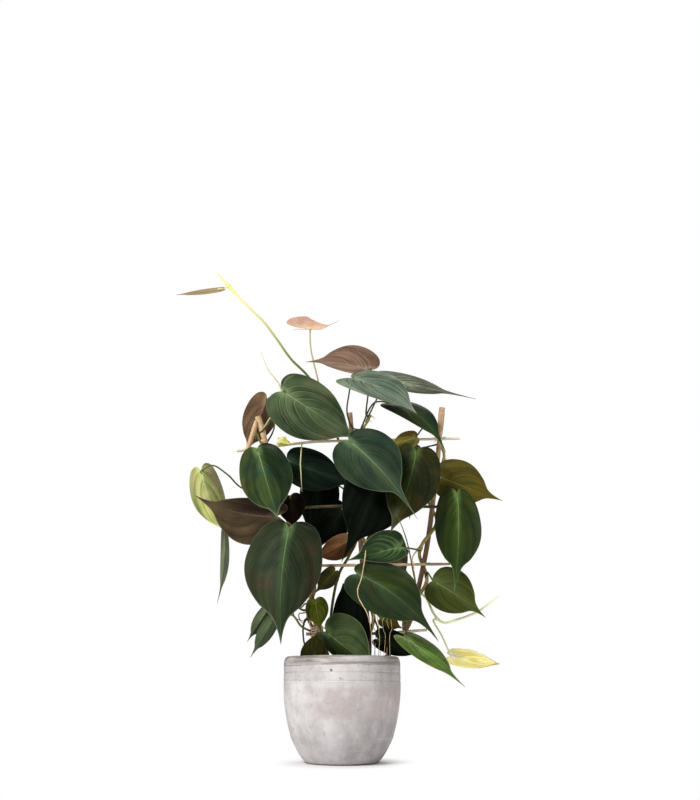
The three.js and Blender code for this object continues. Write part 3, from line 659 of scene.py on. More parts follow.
class Leafage(Enum):
    """The faces of the blades, as (upper face, underside)."""

    VELVET = both_faces(
        "velvet_green", [(50, 66, 28), (28, 48, 34), (80, 66, 34), (128, 166, 98), (116, 134, 100)],
        shade=0.55, left_tint=(0.4, 0.56, 0.72, 1.0), right_tint=(1.16, 1.08, 0.9, 1.0),
    )
    SLATE = both_faces(
        "velvet_slate", [(48, 63, 43), (34, 51, 39), (56, 64, 44), (122, 152, 104), (124, 138, 112)],
        left_tint=(0.74, 0.82, 0.88, 1.0), right_tint=(1.16, 1.14, 1.1, 1.0),
    )
    BRONZE = both_faces(
        "velvet_bronze", [(44, 52, 30), (34, 44, 28), (58, 48, 32), (110, 146, 92), (120, 126, 100)],
        vein_share=0.08, furrow=0.2, halo=0.22,
    )
    LIT = both_faces(
        "velvet_lit", [(66, 80, 52), (50, 66, 42), (78, 80, 54), (134, 156, 106), (128, 142, 108)],
        vein_share=0.22, glow_share=0.3, furrow=0.45, furrow_mm=1.8, shade=0.5,
    )
    LEAFY = both_faces(
        "leafy_green", [(68, 81, 42), (48, 66, 34), (82, 90, 54), (146, 176, 110), (138, 150, 112)],
        vein_share=0.2, glow_share=0.12, furrow=0.35,
    )
    FOREST = both_faces(
        "forest_green", [(34, 50, 22), (18, 36, 18), (48, 58, 26), (100, 128, 78), (100, 112, 80)],
        vein_share=0.16, shade=0.6,
    )
    FRESH = both_faces(
        "fresh_green", [(42, 58, 14), (30, 48, 14), (56, 62, 16), (124, 160, 84), (118, 136, 88)],
    )
    COOL = both_faces(
        "cool_green", [(44, 59, 26), (33, 49, 26), (54, 58, 26), (108, 134, 96), (106, 122, 90)],
        vein_share=0.06, halo=0.09, heart=0.3, rib_share=0.6, shade=0.35, left_tint=(1.14, 1.02, 0.76, 1.0),
        right_tint=(0.92, 1.03, 1.22, 1.0),
    )
    STRIPED = both_faces(
        "striped_green", [(35, 53, 27), (21, 38, 18), (45, 62, 31), (116, 152, 94), (132, 150, 108)],
        vein_share=0.0, glow_share=0.38, glow_mm=5.0, furrow=0.45, furrow_mm=3.4, shade=0.7,
    )
    BRIGHT = both_faces(
        "bright_green", [(98, 124, 46), (66, 96, 34), (120, 134, 58), (166, 194, 116), (168, 184, 122)],
        vein_share=0.25, glow_share=0.25, furrow=0.5, shade=0.5,
    )
    MOSS = both_faces(
        "moss_green", [(66, 75, 28), (52, 64, 24), (78, 80, 30), (116, 130, 72), (124, 128, 80)],
    )
    GREY = both_faces(
        "velvet_grey", [(102, 116, 98), (74, 92, 76), (120, 126, 108), (160, 174, 150), (160, 168, 146)],
        vein_share=0.4, glow_share=0.4, furrow=0.8, furrow_mm=2.2, shade=0.5, sheen=0.2,
    )
    STRIPED_GREY = both_faces(
        "striped_grey", [(100, 106, 84), (72, 80, 60), (114, 118, 96), (178, 184, 152), (166, 168, 142)],
        vein_share=0.5, glow_share=0.5, furrow=1.2, furrow_mm=2.2, shade=0.6, sheen=0.1,
    )
    DEEP = both_faces(
        "deep_olive", [(33, 37, 10), (24, 32, 12), (52, 46, 14), (96, 120, 58), (86, 90, 54)], vein_share=0.2,
        left_tint=(0.95, 0.84, 0.8, 1.0), right_tint=(1.0, 1.2, 1.1, 1.0),
    )
    TEAL = both_faces(
        "deep_teal", [(14, 29, 19), (7, 19, 13), (22, 34, 19), (58, 84, 60), (52, 66, 50)], DARK_UNDERSIDE,
        sheen=0.02, gloss=0.06, rib_share=0.4, rough=0.65, vein_share=0.2, shade=0.6,
    )
    SHADE = both_faces(
        "deep_shade", [(9, 14, 8), (3, 8, 4), (16, 18, 9), (40, 58, 36), (34, 44, 28)], DARK_UNDERSIDE,
        sheen=0.0, gloss=0.04, rib_share=0.3, vein_share=0.15, rough=0.75, shade=0.6,
    )
    OLIVE = both_faces(
        "olive_green", [(92, 98, 18), (58, 70, 14), (112, 102, 22), (146, 156, 60), (128, 120, 58)],
        sheen=0.03, shade=0.6,
    )
    TAWNY = both_faces(
        "tawny_olive", [(60, 58, 12), (44, 48, 12), (76, 62, 14), (110, 108, 50), (100, 90, 46)], sheen=0.03,
    )
    AMBER = both_faces(
        "amber_olive", [(138, 122, 48), (104, 108, 40), (160, 110, 54), (180, 170, 96), (150, 130, 72)],
        shade=0.6,
    )
    # Olive, partly the leaf's own colour and partly painted light shining through it from behind
    GOLDEN = both_faces(
        "golden_olive", [(82, 71, 16), (60, 60, 16), (102, 76, 16), (130, 126, 60), (112, 98, 50)],
        sheen=0.03, vein_share=0.2,
    )
    # Yellow-green, partly the leaf's own colour and partly painted light shining through it from behind
    LIGHT = (
        blade_finish(
            "light_green",
            [(174, 174, 104), (144, 154, 84), (188, 166, 132), (206, 220, 140), (196, 202, 144)],
            glow_share=0.3, vein_share=0.5, furrow=0.3, shade=0.45,
        ),
        blade_finish(
            "light_under",
            [(160, 156, 104), (144, 144, 92), (172, 158, 118), (192, 186, 134), (178, 172, 124)], sink=-1.0,
        ),
    )
    MIST = both_faces(
        "mist_green", [(106, 114, 84), (84, 94, 66), (120, 120, 96), (140, 150, 112), (140, 146, 116)],
    )
    MAROON = (
        blade_finish(
            "maroon_top", [(56, 62, 36), (46, 54, 32), (68, 60, 40), (104, 120, 74), (100, 100, 74)],
        ),
        under_finish(
            "underside_shouldered",
            [(78, 66, 43), (62, 50, 35), (92, 80, 54), (146, 124, 98), (122, 100, 76)], rib_share=0.55,
            # The right half is darkened strongly as a painted shadow
            left_tint=(1.06, 1.02, 1.0, 1.0), right_tint=(0.28, 0.17, 0.16, 1.0),
        ),
    )
    RUSSET = (
        blade_finish(
            "russet_top", [(60, 62, 42), (50, 54, 38), (72, 62, 44), (108, 118, 78), (104, 100, 76)],
        ),
        under_finish(
            "underside_russet", [(104, 80, 56), (84, 62, 44), (118, 94, 68), (166, 138, 108), (138, 112, 86)],
            vein_share=0.45, furrow=0.55, shade=0.45,
        ),
    )
    # A maroon leaf made near black as painted shade, deep in the foliage
    DUSKY = (
        blade_finish("dusky_top", [(26, 28, 18), (20, 22, 16), (34, 28, 20), (56, 60, 40), (54, 52, 38)]),
        blade_finish(
            "underside_dusky", [(24, 16, 8), (16, 8, 5), (34, 24, 14), (56, 40, 28), (50, 38, 26)], sheen=0.0,
            gloss=0.05, rib=1.8, sink=-1.0, rib_share=0.4,
        ),
    )
    ORANGE = (
        blade_finish("orange_top", [(70, 62, 36), (58, 52, 32), (82, 66, 40), (110, 100, 64), (104, 94, 64)]),
        blade_finish(
            "underside_orange", [(100, 64, 28), (76, 46, 20), (120, 76, 38), (144, 104, 70), (150, 120, 84)],
            sheen=0.02, rib=1.8, sink=-1.0, rib_share=0.5, rim_share=0.7,
        ),
    )
    COPPER = (
        blade_finish(
            "copper_top", [(74, 78, 50), (60, 66, 46), (86, 80, 54), (128, 132, 92), (116, 112, 82)],
        ),
        under_finish(
            "underside_copper",
            [(164, 130, 110), (140, 108, 90), (176, 142, 120), (220, 194, 168), (184, 156, 134)], rib=2.0,
            vein_share=0.7, glow_share=0.4, furrow=0.6, furrow_mm=1.8, shade=0.4,
        ),
    )
    PINK = (
        blade_finish(
            "pink_top", [(228, 190, 166), (214, 166, 144), (238, 206, 176), (242, 224, 176), (206, 166, 140)],
            grain=0.0, sheen=0.0, shade=0.1, furrow=0.1, fine_share=0.0,
        ),
        blade_finish(
            "pink_under",
            [(228, 188, 166), (206, 154, 134), (238, 202, 176), (246, 228, 176), (196, 150, 126)], grain=0.0,
            sheen=0.0, shade=0.12, sink=-0.5, furrow=0.12, fine_share=0.0, halo=0.4, rim_share=0.8,
        ),
    )
    TENDER = (
        blade_finish(
            "tender_top",
            [(164, 142, 104), (140, 118, 84), (180, 160, 116), (200, 190, 140), (170, 150, 110)], grain=0.0,
            sheen=0.0, shade=0.1, furrow=0.05, fine_share=0.0,
        ),
        blade_finish(
            "tender_under",
            [(158, 132, 98), (132, 106, 78), (176, 150, 112), (196, 180, 134), (160, 134, 100)], grain=0.0,
            sheen=0.0, shade=0.1, furrow=0.05, fine_share=0.0, sink=-0.5,
        ),
    )
    YELLOW = (
        blade_finish(
            "withered_yellow",
            [(252, 244, 160), (244, 222, 108), (254, 250, 208), (254, 252, 220), (184, 134, 56)], grain=0.0,
            sheen=0.0, shade=0.22, rim_share=0.95,
        ),
        blade_finish(
            "withered_under",
            [(248, 236, 150), (238, 214, 112), (252, 246, 194), (252, 246, 206), (186, 140, 62)], grain=0.0,
            sheen=0.0, shade=0.15, rim_share=0.8, sink=-1.0,
        ),
    )
    LIME = (
        blade_finish(
            "lime_bud", [(244, 236, 132), (196, 202, 92), (250, 246, 172), (236, 238, 170), (150, 146, 60)],
            grain=0.1, sheen=0.0, shade=0.4, rim_share=0.6,
        ),
        blade_finish(
            "lime_under", [(232, 226, 124), (182, 190, 84), (240, 238, 160), (226, 228, 160), (140, 136, 56)],
            grain=0.1, sheen=0.0, shade=0.4, rim_share=0.6, sink=-1.0,
        ),
    )


class Fibre(Enum):
    """The finishes of canes, stems, stalks, roots and wires."""

    POST = FibreFinish("bamboo_post", paint(222, 190, 146), paint(172, 134, 94), share=0.45, coat=0.1)
    # Bamboo that turns darker brown towards its foot as painted shade
    OLD_POST = FibreFinish(
        "old_bamboo", paint(216, 184, 146), paint(146, 114, 82), share=0.5, coat=0.1, tip=paint(104, 74, 52),
        turn=(0.15, 0.6),
    )
    RUNG = FibreFinish("bamboo_rung", paint(222, 202, 168), paint(150, 124, 96), (0.05, 1.0, 1.0), 0.5)
    PALE_RUNG = FibreFinish("pale_rung", paint(244, 234, 206), paint(196, 168, 128), (0.05, 1.0, 1.0), 0.4)
    # The upper rung's cane, dark as painted shade inside the foliage
    DARK_RUNG = FibreFinish("dark_rung", paint(96, 84, 58), paint(44, 36, 24), (0.05, 1.0, 1.0), 0.5)
    WIRE = FibreFinish(
        "tie_wire", paint(52, 46, 40), paint(30, 26, 24), (1.0, 1.0, 1.0), 0.5, rough=0.45, depth=0.02,
        metal=0.6,
    )
    RAFFIA = FibreFinish(
        "raffia_wrap", paint(255, 238, 206), paint(226, 190, 150), (1.0, 1.0, 0.2), 0.3, rough=0.7,
    )
    BARK = FibreFinish(
        "stem_bark", paint(200, 178, 124), paint(92, 72, 46), (1.0, 1.0, 0.4), 0.6, 400.0, 0.7, 0.25,
        tip=paint(168, 166, 92),
    )
    # Its pale tip is young growth and partly a painted highlight of light from behind
    GREEN = FibreFinish(
        "green_stem", paint(92, 102, 44), paint(70, 80, 34), (1.0, 1.0, 1.0), 0.1, 120.0, 0.5, 0.0,
        tip=paint(240, 240, 152), turn=(0.68, 0.96),
    )
    SHOOT = FibreFinish(
        "pale_shoot", paint(228, 234, 172), paint(212, 220, 150), (1.0, 1.0, 1.0), 0.1, 120.0, 0.5, 0.0,
        tip=paint(250, 250, 216),
    )
    FRESH_STALK = FibreFinish(
        "fresh_stalk", paint(124, 140, 82), paint(96, 112, 60), (1.0, 1.0, 1.0), 0.2, 150.0, 0.5, 0.02,
    )
    STALK = FibreFinish(
        "leaf_stalk", paint(78, 80, 44), paint(50, 46, 30), (1.0, 1.0, 0.5), 0.4, 500.0, 0.5, 0.05,
        tip=paint(92, 108, 58),
    )
    PALE = FibreFinish(
        "pale_stalk", paint(196, 180, 132), paint(176, 154, 110), (1.0, 1.0, 1.0), 0.2, 150.0, 0.5, 0.0,
        tip=paint(216, 208, 150),
    )
    ROOT = FibreFinish(
        "air_root", paint(236, 212, 164), paint(176, 138, 96), (1.0, 1.0, 0.5), 0.4, 500.0, 0.7, 0.2,
    )
    DRY_ROOT = FibreFinish(
        "dry_root", paint(172, 142, 98), paint(96, 72, 46), (1.0, 1.0, 0.4), 0.5, 500.0, 0.75, 0.2,
    )
    RED_ROOT = FibreFinish(
        "maroon_root", paint(176, 104, 92), paint(112, 58, 54), (1.0, 1.0, 0.5), 0.4, 300.0, 0.7, 0.15,
    )
    TENDRIL = FibreFinish(
        "pale_tendril", paint(214, 214, 160), paint(186, 184, 124), (1.0, 1.0, 0.5), 0.3, 500.0, 0.6, 0.05,
    )


# Bars along a path, and crumbs


@dataclass
class Strand:
    """A round bar along a path in millimetres, with its radius and rings at each place."""

    path: np.ndarray
    radius: np.ndarray
    ring: np.ndarray | None = None


def stored(mesh: Mesh, name: str, values: np.ndarray) -> None:
    """Stores a number at each point of a mesh."""
    mesh.attributes.new(name, "FLOAT", "POINT").data.foreach_set("value", values.astype(np.float32))


class ShapeTree:
    """A geometry node tree with named inputs for its sizes; each kind gives its own shape."""

    TITLE = ""
    SIZES: dict[str, float | int] = {}

    def __init__(self) -> None:
        """Builds the tree, from its inputs to the finish."""
        self.tree = bpy.data.node_groups.new(self.TITLE, "GeometryNodeTree")
        self.sockets: dict[str, str] = {}
        face = self.tree.interface
        face.new_socket("Geometry", in_out="INPUT", socket_type="NodeSocketGeometry")
        for name, value in self.SIZES.items():
            kind = "NodeSocketInt" if isinstance(value, int) else "NodeSocketFloat"
            socket = face.new_socket(name, in_out="INPUT", socket_type=kind)
            socket.default_value = value
            self.sockets[name] = socket.identifier
        socket = face.new_socket("Material", in_out="INPUT", socket_type="NodeSocketMaterial")
        self.sockets["Material"] = socket.identifier
        face.new_socket("Geometry", in_out="OUTPUT", socket_type="NodeSocketGeometry")
        w = Wiring(self.tree)
        given, out = w.node("NodeGroupInput").outputs, w.node("NodeGroupOutput")
        smooth = w.out("GeometryNodeSetShadeSmooth", {"Geometry": self.shape(w, given)})
        real = w.out("GeometryNodeRealizeInstances", {"Geometry": smooth})
        inputs = {"Geometry": real, "Material": given["Material"]}
        w.feed(out, {"Geometry": w.out("GeometryNodeSetMaterial", inputs)})

    def shape(self, w: Wiring, given: Any) -> Socket:
        """The geometry that the tree makes of its inputs."""
        raise NotImplementedError

    def applied(self, name: str, start: Mesh, material: Material, sizes: dict[str, float | int]) -> Mesh:
        """Makes a plain mesh with the tree.

        Args:
            name: The new mesh's name.
            start: The mesh that the tree starts from.
            material: The finish.
            sizes: Values for the tree's inputs.

        Returns:
            The new mesh, in metres.
        """
        holder = placed(name + "_start", start)
        modifier = holder.modifiers.new("shape", "NODES")
        modifier.node_group = self.tree
        for key, value in {**sizes, "Material": material}.items():
            modifier[self.sockets[key]] = value
        bpy.context.view_layer.update()
        ready = holder.evaluated_get(bpy.context.evaluated_depsgraph_get())
        mesh = bpy.data.meshes.new_from_object(ready)
        mesh.name = name
        holder.modifiers.clear()
        bpy.data.objects.remove(holder)
        return mesh


class BarMaker(ShapeTree):
    """Sweeps a round section along strands, and lumps its skin."""

    TITLE = "Bar along a path"
    SIZES = {"Sides": 10, "Relief": 0.0, "Relief Scale": 300.0, "Seed": 0.0}
    RADIUS = "bar_radius"

    def shape(self, w: Wiring, given: Any) -> Socket:
        """The swept bars, pushed in and out by noise."""
        line = w.out("GeometryNodeMeshToCurve", {"Mesh": given["Geometry"]})
        section = w.out("GeometryNodeCurvePrimitiveCircle", {"Resolution": given["Sides"], "Radius": 1.0})
        size = w.out("GeometryNodeInputNamedAttribute", {"Name": self.RADIUS}, data_type="FLOAT")
        inputs = {"Curve": line, "Profile Curve": section, "Scale": size, "Fill Caps": True}
        bar = w.out("GeometryNodeCurveToMesh", inputs)
        cloud = {"Scale": given["Relief Scale"], "W": given["Seed"], "Detail": 2.0}
        lump = w.out("ShaderNodeTexNoise", cloud, noise_dimensions="4D")
        push = w.times(w.minus(lump, 0.5), given["Relief"])
        inputs = {0: w.out("GeometryNodeInputNormal"), "Scale": push}
        offset = w.out("ShaderNodeVectorMath", inputs, operation="SCALE")
        return w.out("GeometryNodeSetPosition", {"Geometry": bar, "Offset": offset})

    def make(
        self,
        name: str,
        strands: Sequence[Strand],
        finish: Fibre,
        sides: int = 10,
        relief: float = 0.0,
        relief_scale: float = 300.0,
        seed: float = 0.0,
    ) -> Mesh:
        """Makes one mesh of some strands.

        Args:
            name: The mesh's name.
            strands: The paths.
            finish: What they are made of.
            sides: How many sides the section has.
            relief: How far the skin is lumped, in millimetres.
            relief_scale: How fine the lumps are.
            seed: Which lumps.

        Returns:
            The mesh, in metres.
        """
        links, start = [], 0
        rings = [np.zeros(len(strand.path)) if strand.ring is None else strand.ring for strand in strands]
        for strand in strands:
            end = start + len(strand.path)
            links += [(k, k + 1) for k in range(start, end - 1)]
            start = end
        line = bpy.data.meshes.new(name + "_line")
        line.from_pydata((np.vstack([strand.path for strand in strands]) * MM).tolist(), links, [])
        stored(line, self.RADIUS, np.concatenate([strand.radius for strand in strands]) * MM)
        stored(line, "along", np.concatenate([np.linspace(0, 1, len(strand.path)) for strand in strands]))
        stored(line, "ring", np.concatenate(rings))
        given = {"Sides": sides, "Relief": relief * MM, "Relief Scale": relief_scale, "Seed": float(seed)}
        mesh = self.applied(name, line, finish.value.material(), given)
        bpy.data.meshes.remove(line)
        return mesh


class Scatter(ShapeTree):
    """Scatters small uneven crumbs over the upward faces of a mesh."""

    TITLE = "Scattered crumbs"
    SIZES = {"Density": 1000.0, "Smallest": 0.001, "Largest": 0.002, "Seed": 1}

    def shape(self, w: Wiring, given: Any) -> Socket:
        """Lumpy balls at random places, turned and sized at random."""
        level = w.node("ShaderNodeSeparateXYZ", {0: w.out("GeometryNodeInputNormal")}).outputs[2]
        inputs = {"Mesh": given["Geometry"], "Selection": w.maths("GREATER_THAN", level, 0.6)}
        draws = {"Seed": given["Seed"]}
        inputs = {**inputs, "Density": given["Density"], **draws}
        places = w.out("GeometryNodeDistributePointsOnFaces", inputs)
        ball = w.out("GeometryNodeMeshIcoSphere", {"Radius": 1.0, "Subdivisions": 2})
        lump = w.node("ShaderNodeTexNoise", {"Scale": 1.3, "Detail": 1.0}).outputs["Color"]
        shift = w.out("ShaderNodeVectorMath", {0: lump, 1: (0.5, 0.5, 0.5)}, operation="SUBTRACT")
        crumb = w.out("GeometryNodeSetPosition", {"Geometry": ball, "Offset": shift})
        most = {"Max": (TURN, TURN, TURN)}
        turn = w.out("FunctionNodeRandomValue", {**most, **draws}, data_type="FLOAT_VECTOR")
        size = w.node("FunctionNodeRandomValue", draws, data_type="FLOAT")
        for key, name in (("Min_001", "Smallest"), ("Max_001", "Largest")):
            slot = next(socket for socket in size.inputs if socket.identifier == key)
            w.tree.links.new(given[name], slot)
        scale = next(socket for socket in size.outputs if socket.type == "VALUE" and socket.enabled)
        inputs = {"Points": places, "Instance": crumb, "Rotation": turn, "Scale": scale}
        return w.out("GeometryNodeInstanceOnPoints", inputs)

    def over(
        self, ground: Mesh, name: str, material: Material, density: float, sizes: Uv, seed: int
    ) -> Mesh:
        """Makes the crumbs that lie on a mesh.

        Args:
            ground: What they lie on.
            name: The new mesh's name.
            material: Their finish.
            density: How many to the square metre.
            sizes: The smallest and the largest radius, in millimetres.
            seed: Which draw.

        Returns:
            One mesh of all crumbs.
        """
        given = {"Density": density, "Smallest": sizes[0] * MM, "Largest": sizes[1] * MM, "Seed": seed}
        return self.applied(name, ground, material, given)


# Meshes and pieces


def joined(name: str, meshes: Sequence[Mesh]) -> Mesh:
    """Several meshes put together into one, each keeping its materials and stored numbers."""
    holders = [placed(name, mesh) for mesh in meshes]
    with bpy.context.temp_override(active_object=holders[0], selected_editable_objects=holders):
        bpy.ops.object.join()
    mesh = holders[0].data
    bpy.data.objects.remove(holders[0])
    mesh.name = name
    return mesh


def settle(name: str, mesh: Mesh, nodes: Sequence[str] = ()) -> Piece:
    """Makes a finished piece of a mesh, riding on the pot and standing for its solids.

    Args:
        name: The piece's name.
        mesh: Its mesh, in place, in metres.
        nodes: The solids that it stands for.

    Returns:
        The piece.
    """
    piece = placed(name, mesh)
    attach(piece, "root")
    if nodes:
        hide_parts(*nodes)
    LOG.info("%s: %d faces", name, len(mesh.polygons))
    return piece


def plain_mesh(name: str, points: np.ndarray, faces: Faces, material: Material) -> Mesh:
    """A smooth-shaded mesh from points in millimetres."""
    mesh = bpy.data.meshes.new(name)
    mesh.from_pydata((np.asarray(points) * MM).tolist(), [], faces)
    mesh.materials.append(material)
    mesh.shade_smooth()
    return mesh


# The pot and what fills it


def turned(profile: np.ndarray, segments: int) -> tuple[np.ndarray, Faces]:
    """A closed body turned about the upright axis.

    Args:
        profile: Radius and height at each place, from the axis at the bottom round to the axis again.
        segments: How many steps it is turned in.

    Returns:
        Its points in millimetres and its faces.
    """
    angles = np.linspace(0, 2 * math.pi, segments, endpoint=False)
    rings = profile[1:-1]
    body = [np.column_stack([r * np.cos(angles), r * np.sin(angles), np.full(segments, z)]) for r, z in rings]
    points = np.vstack(body + [[[0, 0, profile[0][1]], [0, 0, profile[-1][1]]]])
    first, last = len(points) - 2, len(points) - 1
    top = (len(rings) - 1) * segments
    faces: Faces = []
    for i in range(segments):
        j = (i + 1) % segments
        faces.append((first, j, i))
        for low in range(0, top, segments):
            high = low + segments
            faces.append((low + i, low + j, high + j, high + i))
        faces.append((last, top + i, top + j))
    return points, faces


@dataclass
class PlanterPot:
    """The concrete pot, the grower's pot inside it and the soil."""

    height: float = 117.0
    radius: float = 70.5
    wall: float = 8.0
    floor: float = 10.0
    grooves: Uv = (89.5, 98.5)
    groove_depth: float = 0.6
    liner_top: float = 103.0
    liner_foot: float = 41.0
    liner_rim: float = 57.0
    liner_wall: float = 1.4
    gap: float = 0.3
    soil_top: float = 94.0
    soil_clear: float = 1.4
    segments: int = 160
    liner_segments: int = 96
    soil_segments: int = 110

    def profile(self) -> np.ndarray:
        """The pot's section: foot, bowl, two grooves, a rounded lip, and the inside."""
        r, inside, deep = self.radius, self.radius - self.wall, self.radius - self.groove_depth
        foot = [(0, 0), (20, 0), (39, 0), (40.6, 0.1), (42.4, 0.6)]
        bowl = [(44, 1.6), (49, 7.5), (54, 15.5), (60, 27), (64.8, 42), (68.2, 59), (69.8, 75), (r, 88)]
        body = [(r, 94), (r, 101), (r, 104), (r, 107)]
        for z in self.grooves:
            body += [(r, z - 1), (r - 0.15, z - 0.5), (deep, z - 0.15), (deep, z + 0.15)]
            body += [(r - 0.15, z + 0.5), (r, z + 1)]
        body.sort(key=lambda place: place[1])
        lip = [(r, 109), (r - 0.5, 112.5), (r - 1.9, 115.4), (r - 4.3, self.height)]
        lip += [(inside + 1.2, 115.7), (inside, 111)]
        well = [(inside, 104), (inside, 90), (inside, 75), (inside, 60)]
        floor = [(inside - 3.5, 44), (inside - 9, 28), (inside - 13, 18)]
        floor += [(inside - 18, self.floor), (20, self.floor), (0, self.floor)]
        return np.array(foot + through(bowl, 42).tolist() + body + through(lip, 20).tolist() + well + floor)

    def pot(self) -> Piece:
        """The concrete pot, with the slight unevenness of a casting and a few chips on its lip."""
        points, faces = turned(self.profile(), self.segments)
        for k, (x, y, z) in enumerate(points):
            across = math.hypot(x, y)
            if z < 1.2 or across < self.radius - self.wall - 1:
                continue
            spot = Vector((x, y, z))
            swell = noise.noise(spot * 0.035) * 0.35 + noise.noise(spot * 0.12) * 0.12
            worn = noise.noise(spot * 0.09 + Vector((7, 3, 1))) - 0.32
            chip = max(0.0, worn) if z > self.height - 6 else 0.0
            out = np.array([x, y, 0]) / max(across, 1)
            points[k] += out * (swell - 0.3 - 1.2 * chip) - UP * 1.6 * chip
        mesh = plain_mesh("pot", points, faces, ConcreteFinish().material())
        return settle("concrete_pot", mesh, ["pot"])

    def liner_radius(self, z: float) -> float:
        """The grower's pot's outer radius at a height."""
        foot = self.floor + self.gap
        return self.liner_foot + (z - foot) / (self.liner_top - foot) * (self.liner_rim - self.liner_foot)

    def liner(self) -> Piece:
        """The grower's pot, with a rolled rim."""
        foot, top, wall, rim = self.floor + self.gap, self.liner_top, self.liner_wall, self.liner_rim
        inner = rim - wall
        outside = [(0, foot), (self.liner_foot - 2, foot), (self.liner_foot - 0.4, foot + 0.4)]
        outside += [(self.liner_radius(z), z) for z in np.linspace(foot + 2, top - 6.4, 16)]
        lip = [(rim + 1.7, top - 6), (rim + 2, top - 5.5), (rim + 2, top - 1.2)]
        lip += [(rim + 1.4, top - 0.3), (rim, top)]
        inside = [(inner + 0.3, top - 0.1), (inner, top - 0.6)]
        inside += [(self.liner_radius(z) - wall, z) for z in np.linspace(top - 3, foot + wall + 1, 14)]
        inside += [(self.liner_foot - wall - 1, foot + wall), (0, foot + wall)]
        points, faces = turned(np.array(outside + lip + inside), self.liner_segments)
        mesh = plain_mesh("liner", points, faces, PlasticFinish().material())
        return settle("growers_pot", mesh, ["grower_pot"])

    def soil(self) -> Piece:
        """The soil with crumbs of bark and a few pale grains scattered on it."""
        below = self.floor + 2 * self.gap + self.liner_wall
        rim = self.liner_radius(self.soil_top) - self.liner_wall - self.soil_clear
        foot = self.liner_foot - self.liner_wall - self.soil_clear
        wall = [(0, below), (foot, below), (rim - 0.3, self.soil_top - 4), (rim, self.soil_top - 2)]
        top = [(radius, self.soil_top) for radius in np.linspace(rim - 2, 2, 26)]
        points, faces = turned(np.array(wall + top + [(0, self.soil_top)]), self.soil_segments)
        for k, (x, y, z) in enumerate(points):
            if z > self.soil_top - 1:
                heap = 1.1 * math.sin(0.31 * x + 1) * math.cos(0.27 * y)
                points[k][2] += 0.6 * heap + 2.2 * noise.noise(Vector((x, y, 3)) * 0.16) - 0.6
        earth = SoilFinish("potting_soil", paint(38, 28, 22), paint(78, 58, 44)).material()
        mesh = plain_mesh("soil", points, faces, earth)
        bark = SoilFinish("bark_crumbs", paint(58, 40, 28), paint(110, 80, 56), 0.85).material()
        grain = SoilFinish("pale_grains", paint(196, 188, 174), paint(226, 220, 208), 0.9).material()
        scatter = Scatter()
        crumbs = scatter.over(mesh, "crumbs", bark, density=90000.0, sizes=(0.9, 2.3), seed=4)
        grains = scatter.over(mesh, "grains", grain, density=8000.0, sizes=(0.8, 1.5), seed=9)
        return settle("potting_soil", joined("soil", [mesh, crumbs, grains]), ["soil"])

    def build(self) -> None:
        """Makes the pot and what fills it."""
        self.pot()
        self.liner()
        self.soil()


# The trellis


@dataclass(frozen=True)
class Post:
    """One bamboo post: its places from the top, the heights of its joints, its finish and its lumps."""

    places: tuple[Uv, ...]
    joints: Uvy
    finish: Fibre
    seed: float


POSTS = {
    "left": Post(
        ((258, 417), (284.6, 507), (311, 597), (317, 640), (319, 677), (320, 716)),
        (128, 262, 392), Fibre.POST, 1.0,
    ),
    "middle": Post(
        ((350, 413), (358, 510), (366, 607), (369, 640), (368, 677), (366, 716)),
        (155, 290, 402), Fibre.OLD_POST, 2.0,
    ),
    "right": Post(
        (
            (442, 408), (437, 465), (428, 540), (418, 590), (411, 618), (400, 639), (387, 657), (380.5, 677),
            (377, 716),
        ),
        (190, 318, 430), Fibre.OLD_POST, 3.0,
    ),
}
RUNGS = {
    "bottom": ((306, 634), (375, 633.5), (427, 630)),
    "lower": ((290, 566), (366, 565), (450, 564)),
    "upper": ((268, 509), (350, 506), (448, 507)),
    "top": ((237, 451), (302, 443), (335, 441), (460, 438.5)),
}


